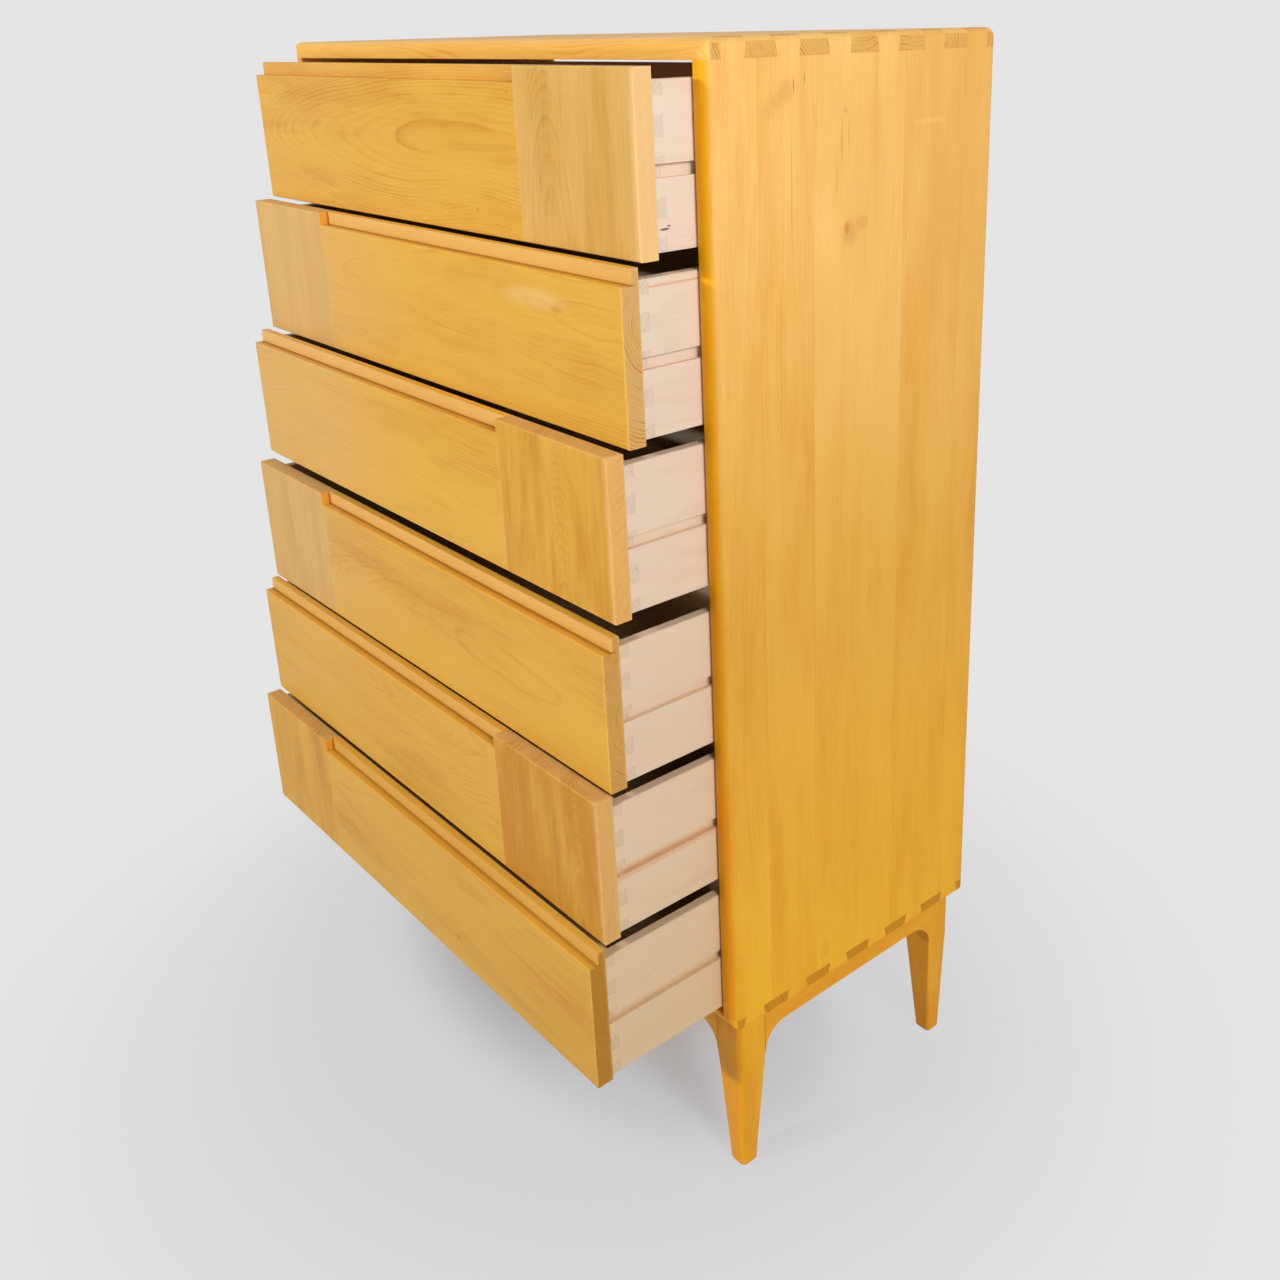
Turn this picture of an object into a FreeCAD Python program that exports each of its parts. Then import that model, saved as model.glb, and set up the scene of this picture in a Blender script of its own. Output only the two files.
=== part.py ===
import FreeCAD, Part
import os
import Sketcher

# A six-drawer highboy on a low leg frame. Lengths are millimetres.
# X runs across the width, -Y is the front, and the floor is Z = 0. The drawers stand part open, each
# by its own pull, and the origin is on the floor under the middle of the object as it stands.

DRAWERS = 6
CASE_PINS = 5
DRAWER_PINS = 3
SIDES = (("left", -1), ("right", 1))

SIZES = [
    # overall
    ("overall_height", 1264, "floor to top"),
    ("case_width", 825, "outside of the sides"),
    ("case_depth", 397, "front edge to rear edge"),
    ("base_height", 211, "floor to case bottom"),
    ("board_thickness", 19, "sides and top"),
    ("bottom_board_thickness", 13, "case bottom"),
    ("front_edge_radius", 12, "rounding of the case's front edges"),
    ("rear_edge_radius", 9, "rounding of the case's other outer edges"),
    ("inner_edge_radius", 1.5, "easing of the sides' inner front edge"),
    # case dovetails
    ("case_half_pin_width", 17.5, "first and last pin at the wide end"),
    ("case_tail_width", 27, "tail at its narrow end"),
    ("case_pin_slope", 3, "narrowing of a pin's flank"),
    # back panel
    ("back_thickness", 6, "back panel"),
    ("back_rabbet_depth", 10, "rabbet, front to back"),
    ("back_rabbet_width", 9, "rabbet, across the board"),
    ("back_clearance", 0.5, "panel edge to rabbet"),
    ("back_slot", 18, "open slot over the back panel"),
    # drawer faces
    ("gap_above_1", 3, "top board to the top face"),
    ("gap_above_2", 3, "top face to the second"),
    ("gap_above_3", 1.5, "second face to the third"),
    ("gap_above_4", 11.5, "third face to the fourth"),
    ("gap_above_5", 3, "fourth face to the fifth"),
    ("gap_above_6", 4, "fifth face to the lowest"),
    ("bottom_face_gap", 4.5, "below the lowest face"),
    ("face_side_gap", 2.5, "face end to case side"),
    ("face_thickness", 20, "face board and end block"),
    ("face_edge_radius", 1.5, "eased face edges"),
    ("face_block_width", 187, "vertical-grain end block"),
    ("recess_height", 15, "finger recess, top to floor"),
    ("recess_depth", 11, "finger recess, front to back"),
    ("recess_cove_radius", 1, "hollow at the recess's inner corner"),
    # drawer boxes
    ("box_length", 350, "box side, front to back"),
    ("box_side_thickness", 13, "box sides"),
    ("box_front_thickness", 11, "box front"),
    ("box_back_thickness", 11, "box back"),
    ("box_top_drop", 11, "face top to box top"),
    ("box_bottom_rise", 6.5, "face bottom to box bottom"),
    ("box_edge_radius", 2, "rounded top edges of the box sides"),
    ("box_back_inset", 10, "box back from the sides' rear ends"),
    ("box_dado_depth", 5, "dado for the box back"),
    ("box_pin_width", 20, "pin at its wide end"),
    ("box_half_pin_width", 14, "half pin at its wide end"),
    ("box_pin_slope", 1.6, "narrowing of a pin's flank"),
    ("bottom_thickness", 5, "drawer bottom"),
    ("bottom_rise", 8, "box's lower edge to the drawer bottom"),
    ("bottom_groove_depth", 6, "groove for the drawer bottom"),
    ("bottom_clearance", 0.5, "drawer bottom's edge to its groove"),
    # runners
    ("runner_height", 11, "batten, up and down"),
    ("runner_play_above", 0.3, "batten top to groove"),
    ("runner_play_below", 0.7, "batten underside to groove"),
    ("runner_groove_depth", 6, "groove in the box side"),
    ("runner_groove_drop", 3, "groove below the box side's middle"),
    ("runner_end_play", 0.5, "batten's inner face to groove floor"),
    ("runner_setback", 25, "case front to the batten's end"),
    ("runner_length", 350, "batten"),
    # leg frame
    ("leg_width", 41, "leg at its top, across"),
    ("leg_depth", 38, "leg at its top, front to back"),
    ("foot_size", 23, "leg at the floor"),
    ("foot_inset_side", 8.5, "foot in from the leg's outer side face"),
    ("foot_inset_front", 6.5, "front foot in from the leg's front face"),
    ("foot_inset_rear", 1.5, "rear foot in from the leg's rear face"),
    ("leg_corner_radius", 10, "outer corner at the top"),
    ("leg_edge_radius", 1.5, "other corners at the top"),
    ("foot_corner_radius", 7, "outer corner at the floor"),
    ("foot_edge_radius", 5, "other corners at the floor"),
    ("sole_radius", 3, "rounding under the foot"),
    ("frame_front_setback", 8.5, "frame behind the case front"),
    ("frame_rear_setback", 28, "frame in front of the case rear"),
    ("rail_height", 22, "rail at mid span"),
    ("rail_thickness", 20, "rails"),
    ("rail_curve_radius", 32, "concave end of a rail"),
    ("tenon_length", 18, "rail tenons"),
    ("tenon_thickness", 8, "rail tenons"),
    ("tenon_height", 30, "rail tenons"),
    ("tenon_drop", 10, "frame top to tenon"),
    ("tenon_inset", 6, "rail's outer face to tenon"),
    # screws
    ("screw_clearance", 0.1, "round a screw in its hole"),
    ("runner_screw_length", 18, "runner screws"),
    ("runner_screw_radius", 1.6, "runner screws"),
    ("runner_screw_inset", 40, "batten end to its first screw"),
    ("back_screw_length", 14, "back panel screws"),
    ("back_screw_radius", 1.5, "back panel screws"),
    ("back_screw_inset", 60, "panel end to its first screw"),
    ("base_screw_length", 31, "base screws"),
    ("base_screw_radius", 2.2, "base screws"),
    ("base_screw_inset", 110, "case side to the first long-rail screw"),
    ("base_screw_spread", 130, "between a side rail's two screws"),
    ("face_screw_length", 25, "face screws"),
    ("face_screw_radius", 1.9, "face screws"),
    ("face_screw_inset", 90, "box side to the first face screw"),
    ("head_ratio", 2, "head radius over shank radius"),
    # how far each drawer stands out of the case
    ("pull_1", 63, "top drawer"),
    ("pull_2", 87, "second drawer"),
    ("pull_3", 114, "third drawer"),
    ("pull_4", 131, "fourth drawer"),
    ("pull_5", 150, "fifth drawer"),
    ("pull_6", 171, "bottom drawer"),
]

doc = FreeCAD.newDocument("highboy")
sheet = doc.addObject("Spreadsheet::Sheet", "Sizes")
for row, (alias, number, note) in enumerate(SIZES, start=1):
    sheet.set(f"A{row}", alias)
    sheet.set(f"B{row}", str(number))
    sheet.set(f"C{row}", note)
    sheet.setAlias(f"B{row}", alias)
doc.recompute()

# ---------------------------------------------------------------- places, as expressions on the sheet

PULLS = "; ".join(f"Sizes.pull_{number}" for number in range(1, DRAWERS + 1))
CASE_FRONT = f"((max({PULLS}) - Sizes.case_depth) / 2)"
CASE_REAR = f"({CASE_FRONT} + Sizes.case_depth)"
CASE_HEIGHT = "(Sizes.overall_height - Sizes.base_height)"
HALF_WIDTH = "(Sizes.case_width / 2)"
HALF_OPENING = "(Sizes.case_width / 2 - Sizes.board_thickness)"
OPENING_BOTTOM = "(Sizes.base_height + Sizes.bottom_board_thickness)"
OPENING_TOP = "(Sizes.overall_height - Sizes.board_thickness)"
GAPS = " + ".join(f"Sizes.gap_above_{number}" for number in range(1, DRAWERS + 1))
FACE_HEIGHT = (
    f"(({OPENING_TOP} - {OPENING_BOTTOM} - Sizes.bottom_face_gap - ({GAPS}))"
    f" / {DRAWERS})"
)
HALF_FACE = f"({HALF_OPENING} - Sizes.face_side_gap)"
BOX_HEIGHT = f"({FACE_HEIGHT} - Sizes.box_top_drop - Sizes.box_bottom_rise)"
HALF_BOX_INSIDE = f"({HALF_FACE} - Sizes.box_side_thickness)"
RUNNER_WIDTH = "(Sizes.face_side_gap + Sizes.runner_groove_depth - Sizes.runner_end_play)"
GROOVE_HEIGHT = "(Sizes.runner_height + Sizes.runner_play_above + Sizes.runner_play_below)"
FRAME_FRONT = f"({CASE_FRONT} + Sizes.frame_front_setback)"
FRAME_REAR = f"({CASE_REAR} - Sizes.frame_rear_setback)"
KNEE = "(Sizes.base_height - Sizes.rail_height - Sizes.rail_curve_radius)"


def face_bottom(number):
    gaps = "".join(f" + Sizes.gap_above_{lower}" for lower in range(number + 1, DRAWERS + 1))
    return (f"({OPENING_BOTTOM} + Sizes.bottom_face_gap"
            f" + {DRAWERS - number} * {FACE_HEIGHT}{gaps})")


def face_front(number):
    return f"({CASE_FRONT} - Sizes.pull_{number})"


def box_front(number):
    return f"({face_front(number)} + Sizes.face_thickness)"


def box_bottom(number):
    return f"({face_bottom(number)} + Sizes.box_bottom_rise)"


def groove_bottom(number):
    return f"({box_bottom(number)} + ({BOX_HEIGHT} - {GROOVE_HEIGHT}) / 2 - Sizes.runner_groove_drop)"


def runner_bottom(number):
    return f"({groove_bottom(number)} + Sizes.runner_play_below)"


def value(expression):
    """The number that an expression on the sheet comes to."""
    number = sheet.evalExpression(expression)
    return float(getattr(number, "Value", number))


# ---------------------------------------------------------------- building blocks

nodes = {}


def keep(item, name):
    """Names a finished piece."""
    item.Label = name
    nodes[name] = item
    return item


def bind(item, **expressions):
    for name, expression in expressions.items():
        item.setExpression(name, expression)
    return item


def place(item, x, y, z):
    for axis, expression in zip("xyz", (x, y, z)):
        item.setExpression(f"Placement.Base.{axis}", expression)
    return item


def slab(name, size, corner):
    """A rectangular piece from its three sizes and its lowest corner."""
    item = doc.addObject("Part::Box", name)
    bind(item, Length=size[0], Width=size[1], Height=size[2])
    return place(item, *corner)


def cut(name, base, *tools):
    item = doc.addObject("Part::Cut", name)
    item.Base = base
    item.Tool = tools[0] if len(tools) == 1 else gather(name + "_tools", tools)
    item.Refine = True
    return item


def gather(name, items):
    item = doc.addObject("Part::Compound", name)
    item.Links = list(items)
    return item


def fuse(name, items):
    item = doc.addObject("Part::MultiFuse", name)
    item.Shapes = list(items)
    item.Refine = True
    return item


def within(name, base, tool):
    item = doc.addObject("Part::Common", name)
    item.Base = base
    item.Tool = tool
    item.Refine = True
    return item


def round_edges(name, base, radius_of):
    """Fillets each edge of base for which radius_of(middle, direction) gives a radius."""
    doc.recompute()
    item = doc.addObject("Part::Fillet", name)
    item.Base = base
    chosen = []
    for index, edge in enumerate(base.Shape.Edges, start=1):
        direction = edge.tangentAt(edge.FirstParameter)
        radius = radius_of(edge.CenterOfMass, direction)
        if radius:
            chosen.append((index, radius, radius))
    item.Edges = chosen
    return item


def near(first, second):
    return abs(first - second) < 0.01


def along(direction, axis):
    return abs(getattr(direction, axis)) > 0.999


def pin(name, width, slopes, run, thickness, turn, corner):
    """One dovetail pin: width at its wide end, narrowing by the two slopes over its run."""
    item = doc.addObject("Part::Wedge", name)
    wide, narrow = ("", "2") if run[1] == "narrows" else ("2", "")
    limits = {
        "Ymin": "0",
        "Ymax": run[0],
        "Zmin": "0",
        "Z2min": "0",
        "Zmax": thickness,
        "Z2max": thickness,
        f"X{wide}min": "0",
        f"X{wide}max": width,
        f"X{narrow}min": slopes[0],
        f"X{narrow}max": f"{width} - {slopes[1]}",
    }
    bind(item, **limits)
    item.Placement = FreeCAD.Placement(FreeCAD.Vector(), turn)
    return place(item, *corner)


# ---------------------------------------------------------------- screws


def screw_shape(length, radius, clearance):
    """A countersunk screw that points along +Z, its head's flat at Z = 0."""
    head = value("Sizes.head_ratio") * radius
    cone = Part.makeCone(head + clearance, radius + clearance, head - radius)
    shank = Part.makeCylinder(radius + clearance, length + clearance)
    return cone.fuse(shank).removeSplitter()


def screw_set(name, kind, axis, points, clearance="0"):
    """Screws of one kind at points, pointing along axis; with clearance, the holes for them."""
    length = value(f"Sizes.{kind}_screw_length")
    radius = value(f"Sizes.{kind}_screw_radius")
    turn = FreeCAD.Rotation(FreeCAD.Vector(0, 0, 1), FreeCAD.Vector(*axis))
    shape = screw_shape(length, radius, value(clearance))
    placed = []
    for point in points:
        copy = shape.copy()
        copy.Placement = FreeCAD.Placement(FreeCAD.Vector(*point), turn)
        placed.append(copy)
    item = doc.addObject("Part::Feature", name)
    item.Shape = Part.makeCompound(placed)
    return item


def screws_and_holes(name, kind, axis, points):
    screws = screw_set(name, kind, axis, points)
    holes = screw_set(name + "_holes", kind, axis, points, "Sizes.screw_clearance")
    return screws, holes


def spread(first, last, count):
    """Evenly spaced values from first to last."""
    return [first + (last - first) * step / (count - 1) for step in range(count)]


def runner_screw_points(side):
    face = side * (value(HALF_OPENING) - value(RUNNER_WIDTH))
    start = value(f"{CASE_FRONT} + Sizes.runner_setback + Sizes.runner_screw_inset")
    end = value(f"{CASE_FRONT} + Sizes.runner_setback + Sizes.runner_length - Sizes.runner_screw_inset")
    points = []
    for number in range(1, DRAWERS + 1):
        height = value(f"{runner_bottom(number)} + Sizes.runner_height / 2")
        points += [(face, y, height) for y in spread(start, end, 3)]
    return points


def back_screw_points():
    rear = value(f"{CASE_REAR} - Sizes.back_rabbet_depth + Sizes.back_thickness")
    middle = value(f"{HALF_OPENING} + Sizes.back_rabbet_width / 2")
    low = value(f"{OPENING_BOTTOM} - Sizes.back_rabbet_width / 2")
    start = value(f"{OPENING_BOTTOM} + Sizes.back_screw_inset")
    end = value(f"{OPENING_TOP} - Sizes.back_slot - Sizes.back_screw_inset")
    points = [(side * middle, rear, z) for _, side in SIDES for z in spread(start, end, 6)]
    across = value(f"{HALF_OPENING} - Sizes.back_screw_inset")
    points += [(x, rear, low) for x in spread(-across, across, 4)]
    return points


def base_screw_points():
    under = value("Sizes.base_height - Sizes.rail_height")
    half_rail = value("Sizes.rail_thickness / 2")
    across = value(f"{HALF_WIDTH} - Sizes.base_screw_inset")
    front = value(FRAME_FRONT) + half_rail
    rear = value(FRAME_REAR) - half_rail
    points = [(x, y, under) for y in (front, rear) for x in spread(-across, across, 3)]
    half_spread = value("Sizes.base_screw_spread / 2")
    middle = (front + rear) / 2
    edge = value(HALF_WIDTH) - half_rail
    points += [(x, middle + y, under) for x in (-edge, edge) for y in (-half_spread, half_spread)]
    return points


def face_screw_points(number):
    inner = value(f"{box_front(number)} + Sizes.box_front_thickness")
    height = value(f"{box_bottom(number)} + {BOX_HEIGHT} / 2")
    across = value(f"{HALF_BOX_INSIDE} - Sizes.face_screw_inset")
    return [(x, inner, height) for x in spread(-across, across, 4)]


# ---------------------------------------------------------------- case

CASE_PIN_WIDTH = (
    f"((Sizes.case_depth - 2 * Sizes.case_half_pin_width - {CASE_PINS + 1} * Sizes.case_tail_width)"
    f" / {CASE_PINS})"
)
# turns a wedge's X, Y and Z to the world's Y, Z and X
UPRIGHT = FreeCAD.Rotation(FreeCAD.Vector(1, 1, 1), 120)


def case_pins(side_name, side, level, height, thickness, taper):
    """The row of pins through one side board at the top or the bottom."""
    inner_x = HALF_OPENING if side > 0 else f"-{HALF_WIDTH}"
    run = (thickness, taper)
    slope = "Sizes.case_pin_slope"
    half_pin = "Sizes.case_half_pin_width"
    rows = [(CASE_FRONT, half_pin, ("0", slope))]
    for step in range(CASE_PINS):
        start = (f"{CASE_FRONT} + {half_pin} + Sizes.case_tail_width"
                 f" + {step} * ({CASE_PIN_WIDTH} + Sizes.case_tail_width)")
        rows.append((start, CASE_PIN_WIDTH, (slope, slope)))
    rows.append((f"{CASE_REAR} - {half_pin}", half_pin, (slope, "0")))
    return [
        pin(f"{level}_pin_{side_name}_{index}", width, slopes, run, "Sizes.board_thickness", UPRIGHT,
            (inner_x, start, height))
        for index, (start, width, slopes) in enumerate(rows)
    ]


def case_envelope():
    """The rounded outside of the case, which trims every board that reaches it."""
    raw = slab("case_block", ("Sizes.case_width", "Sizes.case_depth", CASE_HEIGHT),
               (f"-{HALF_WIDTH}", CASE_FRONT, "Sizes.base_height"))
    front, rear = value(CASE_FRONT), value(CASE_REAR)
    top = value("Sizes.overall_height")
    bold = round_edges("case_front_round", raw, lambda middle, direction:
                       value("Sizes.front_edge_radius") if near(middle.y, front) else 0)
    fine = round_edges("case_rear_round", raw, lambda middle, direction:
                       value("Sizes.rear_edge_radius")
                       if near(middle.y, rear) or (near(middle.z, top) and not near(middle.y, front)) else 0)
    return within("case_outside", bold, fine)


def side_board(name, side, pins, outside, holes):
    inner = side * value(HALF_OPENING)
    front = value(CASE_FRONT)
    raw = slab(name + "_raw", ("Sizes.board_thickness", "Sizes.case_depth", CASE_HEIGHT),
               (HALF_OPENING if side > 0 else f"-{HALF_WIDTH}", CASE_FRONT, "Sizes.base_height"))
    eased = round_edges(
        name + "_eased", raw,
        lambda middle, direction: value("Sizes.inner_edge_radius")
        if along(direction, "z") and near(middle.x, inner) and near(middle.y, front) else 0)
    rabbet = slab(name + "_rabbet",
                  ("Sizes.back_rabbet_width", "Sizes.back_rabbet_depth",
                   f"{OPENING_TOP} - {OPENING_BOTTOM} + Sizes.back_rabbet_width"),
                  (HALF_OPENING if side > 0 else f"-({HALF_OPENING} + Sizes.back_rabbet_width)",
                   f"{CASE_REAR} - Sizes.back_rabbet_depth",
                   f"{OPENING_BOTTOM} - Sizes.back_rabbet_width"))
    jointed = cut(name + "_jointed", eased, rabbet, *pins, *holes)
    return keep(within(name, jointed, outside), name)


def end_board(name, height, thickness, pins, outside, cuts):
    """The top or the bottom: a panel between the sides, with its pins through them."""
    panel = slab(name + "_panel", (f"2 * {HALF_OPENING}", "Sizes.case_depth", thickness),
                 (f"-{HALF_OPENING}", CASE_FRONT, height))
    whole = fuse(name + "_whole", [panel, *pins])
    if cuts:
        whole = cut(name + "_cut", whole, *cuts)
    return keep(within(name, whole, outside), name)


def runner_group(name, side, holes):
    inner_x = f"{HALF_OPENING} - {RUNNER_WIDTH}" if side > 0 else f"-{HALF_OPENING}"
    battens = [
        slab(f"{name}_{number}", (RUNNER_WIDTH, "Sizes.runner_length", "Sizes.runner_height"),
             (inner_x, f"{CASE_FRONT} + Sizes.runner_setback", runner_bottom(number)))
        for number in range(1, DRAWERS + 1)
    ]
    return keep(cut(name, gather(name + "_battens", battens), holes), name)


def build_case():
    outside = case_envelope()
    top_pins, bottom_pins, side_pins = [], [], {}
    for side_name, side in SIDES:
        upper = case_pins(side_name, side, "top", OPENING_TOP, "Sizes.board_thickness", "narrows")
        lower = case_pins(side_name, side, "bottom", "Sizes.base_height",
                          "Sizes.bottom_board_thickness", "widens")
        top_pins += upper
        bottom_pins += lower
        side_pins[side_name] = upper + lower

    back_screws, back_holes = screws_and_holes("back_panel_screws", "back", (0, -1, 0), back_screw_points())
    base_screws, base_holes = screws_and_holes("base_screws", "base", (0, 0, 1), base_screw_points())
    runner_sets = []
    for side_name, side in SIDES:
        screws, holes = screws_and_holes(f"runner_screws_{side_name}", "runner", (side, 0, 0),
                                         runner_screw_points(side))
        runner_sets.append(screws)
        runner_group(f"runners_{side_name}", side, holes)
        side_board(f"side_{side_name}", side, side_pins[side_name], outside,
                   [holes, back_holes, base_holes])
    keep(gather("runner_screws", runner_sets), "runner_screws")
    keep(back_screws, "back_panel_screws")
    keep(base_screws, "base_screws")

    end_board("top_board", OPENING_TOP, "Sizes.board_thickness", top_pins, outside, [])
    rabbet = slab("bottom_board_rabbet",
                  (f"2 * ({HALF_OPENING} + Sizes.back_rabbet_width)", "Sizes.back_rabbet_depth",
                   "Sizes.back_rabbet_width"),
                  (f"-({HALF_OPENING} + Sizes.back_rabbet_width)",
                   f"{CASE_REAR} - Sizes.back_rabbet_depth",
                   f"{OPENING_BOTTOM} - Sizes.back_rabbet_width"))
    end_board("bottom_board", "Sizes.base_height", "Sizes.bottom_board_thickness", bottom_pins, outside,
              [rabbet, back_holes, base_holes])

    half_panel = f"({HALF_OPENING} + Sizes.back_rabbet_width - Sizes.back_clearance)"
    panel_bottom = f"({OPENING_BOTTOM} - Sizes.back_rabbet_width + Sizes.back_clearance)"
    panel = slab("back_panel_raw",
                 (f"2 * {half_panel}", "Sizes.back_thickness",
                  f"{OPENING_TOP} - Sizes.back_slot - {panel_bottom}"),
                 (f"-{half_panel}", f"{CASE_REAR} - Sizes.back_rabbet_depth", panel_bottom))
    keep(cut("back_panel", panel, back_holes), "back_panel")
    return base_holes


# ---------------------------------------------------------------- leg frame


def rounded_section(body, name, low, high, radii, height):
    """A level sketch in body: a rectangle from low to high with its own radius at each corner.

    The corners run anticlockwise from (low x, low y)."""
    sketch = body.newObject("Sketcher::SketchObject", name)
    plane = next(item for item in body.Origin.OriginFeatures if item.Role == "XY_Plane")
    sketch.AttachmentSupport = (plane, "")
    sketch.MapMode = "FlatFace"
    sketch.setExpression("AttachmentOffset.Base.z", height)
    x0, y0, x1, y1 = (value(text) for text in (*low, *high))
    r = [value(text) for text in radii]
    centres = [(x0 + r[0], y0 + r[0]), (x1 - r[1], y0 + r[1]), (x1 - r[2], y1 - r[2]), (x0 + r[3], y1 - r[3])]
    ends = [
        ((x0 + r[0], y0), (x1 - r[1], y0)),
        ((x1, y0 + r[1]), (x1, y1 - r[2])),
        ((x1 - r[2], y1), (x0 + r[3], y1)),
        ((x0, y1 - r[3]), (x0, y0 + r[0])),
    ]
    quarter = 1.5707963267948966
    up = FreeCAD.Vector(0, 0, 1)
    for start, end in ends:
        sketch.addGeometry(Part.LineSegment(FreeCAD.Vector(*start, 0), FreeCAD.Vector(*end, 0)), False)
    for index, centre in enumerate(centres):
        circle = Part.Circle(FreeCAD.Vector(*centre, 0), up, r[index])
        begin = (index + 2) * quarter
        sketch.addGeometry(Part.ArcOfCircle(circle, begin, begin + quarter), False)
    for side in range(4):
        corner = 4 + (side + 1) % 4
        sketch.addConstraint(Sketcher.Constraint("Tangent", side, 2, corner, 1))
        sketch.addConstraint(Sketcher.Constraint("Tangent", 4 + side, 2, side, 1))
        sketch.addConstraint(Sketcher.Constraint("Horizontal" if side % 2 == 0 else "Vertical", side))
    for index in range(4):
        number = sketch.addConstraint(Sketcher.Constraint("Radius", 4 + index, r[index]))
        sketch.setExpression(f"Constraints[{number}]", radii[index])
    for kind, side, number_at, text in (
        ("DistanceY", 0, y0, low[1]),
        ("DistanceX", 1, x1, high[0]),
        ("DistanceY", 2, y1, high[1]),
        ("DistanceX", 3, x0, low[0]),
    ):
        number = sketch.addConstraint(Sketcher.Constraint(kind, -1, 1, side, 1, number_at))
        sketch.setExpression(f"Constraints[{number}]", text)
    return sketch


def leg_sections(side, front):
    """The leg's top and foot rectangles and corner radii, for one corner of the frame."""
    outer_x, inner_x = HALF_WIDTH, f"{HALF_WIDTH} - Sizes.leg_width"
    foot_outer_x = f"{HALF_WIDTH} - Sizes.foot_inset_side"
    foot_inner_x = f"{foot_outer_x} - Sizes.foot_size"
    if front:
        end_y = f"{FRAME_FRONT} + Sizes.foot_inset_front"
        ys = (FRAME_FRONT, f"{FRAME_FRONT} + Sizes.leg_depth")
        foot_ys = (end_y, f"{end_y} + Sizes.foot_size")
    else:
        end_y = f"{FRAME_REAR} - Sizes.foot_inset_rear"
        ys = (f"{FRAME_REAR} - Sizes.leg_depth", FRAME_REAR)
        foot_ys = (f"{end_y} - Sizes.foot_size", end_y)
    if side > 0:
        xs, foot_xs = (inner_x, outer_x), (foot_inner_x, foot_outer_x)
    else:
        xs, foot_xs = (f"-({outer_x})", f"-({inner_x})"), (f"-({foot_outer_x})", f"-({foot_inner_x})")
    outer_corner = {(-1, True): 0, (1, True): 1, (1, False): 2, (-1, False): 3}[(side, front)]
    radii = ["Sizes.leg_edge_radius"] * 4
    radii[outer_corner] = "Sizes.leg_corner_radius"
    foot_radii = ["Sizes.foot_edge_radius"] * 4
    foot_radii[outer_corner] = "Sizes.foot_corner_radius"
    return (xs, ys, radii), (foot_xs, foot_ys, foot_radii)


def leg(name, side, front, mortises):
    """A leg: a straight block beside the rails, then a taper to the foot."""
    top, foot = leg_sections(side, front)
    body = doc.addObject("PartDesign::Body", name + "_body")
    corners = [((xs[0], ys[0]), (xs[1], ys[1]), radii) for xs, ys, radii in (top, foot)]
    block = rounded_section(body, name + "_block", *corners[0], KNEE)
    pad = body.newObject("PartDesign::Pad", name + "_pad")
    pad.Profile = block
    pad.setExpression("Length", f"Sizes.base_height - {KNEE}")
    knee = rounded_section(body, name + "_knee", *corners[0], KNEE)
    sole = rounded_section(body, name + "_sole", *corners[1], "0")
    loft = body.newObject("PartDesign::AdditiveLoft", name + "_taper")
    loft.Profile = knee
    loft.Sections = [sole]
    loft.Ruled = True
    body.Tip = loft
    doc.recompute()
    ring = [f"Edge{index}" for index, edge in enumerate(loft.Shape.Edges, start=1)
            if near(edge.BoundBox.ZMin, 0) and near(edge.BoundBox.ZMax, 0)]
    fillet = body.newObject("PartDesign::Fillet", name + "_sole_round")
    fillet.Base = (loft, ring)
    fillet.setExpression("Radius", "Sizes.sole_radius")
    body.Tip = fillet
    return keep(cut(name, body, *mortises), name)


def long_tenon(name, side, front):
    """The tenon of a front or rear rail in the leg on one side."""
    reach = f"({HALF_WIDTH} - Sizes.leg_width)"
    x = reach if side > 0 else f"-({reach} + Sizes.tenon_length)"
    y = f"{FRAME_FRONT} + Sizes.tenon_inset" if front else (
        f"{FRAME_REAR} - Sizes.tenon_inset - Sizes.tenon_thickness")
    return slab(name, ("Sizes.tenon_length", "Sizes.tenon_thickness", "Sizes.tenon_height"),
                (x, y, "Sizes.base_height - Sizes.tenon_drop - Sizes.tenon_height"))


def short_tenon(name, side, front):
    """The tenon of a side rail in the front or rear leg."""
    x = f"{HALF_WIDTH} - Sizes.tenon_inset - Sizes.tenon_thickness" if side > 0 else (
        f"-{HALF_WIDTH} + Sizes.tenon_inset")
    y = f"{FRAME_FRONT} + Sizes.leg_depth - Sizes.tenon_length" if front else (
        f"{FRAME_REAR} - Sizes.leg_depth")
    return slab(name, ("Sizes.tenon_thickness", "Sizes.tenon_length", "Sizes.tenon_height"),
                (x, y, "Sizes.base_height - Sizes.tenon_drop - Sizes.tenon_height"))


def rail(name, size, corner, axis, tenons, holes):
    """A rail whose underside sweeps down in a hollow curve to the leg at each end."""
    deep = "(Sizes.rail_height + Sizes.rail_curve_radius)"
    raw = slab(name + "_raw", (*size, deep), (*corner, f"Sizes.base_height - {deep}"))
    arch = slab(name + "_arch", (*size, deep), (*corner, f"Sizes.base_height - Sizes.rail_height - {deep}"))
    top = value("Sizes.base_height - Sizes.rail_height")
    across = "y" if axis == "x" else "x"
    rounded = round_edges(
        name + "_arch_round", arch,
        lambda middle, direction: value("Sizes.rail_curve_radius")
        if near(middle.z, top) and along(direction, across) else 0)
    bar = cut(name + "_bar", raw, rounded)
    whole = fuse(name + "_whole", [bar, *tenons])
    return keep(cut(name, whole, holes), name)


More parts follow.
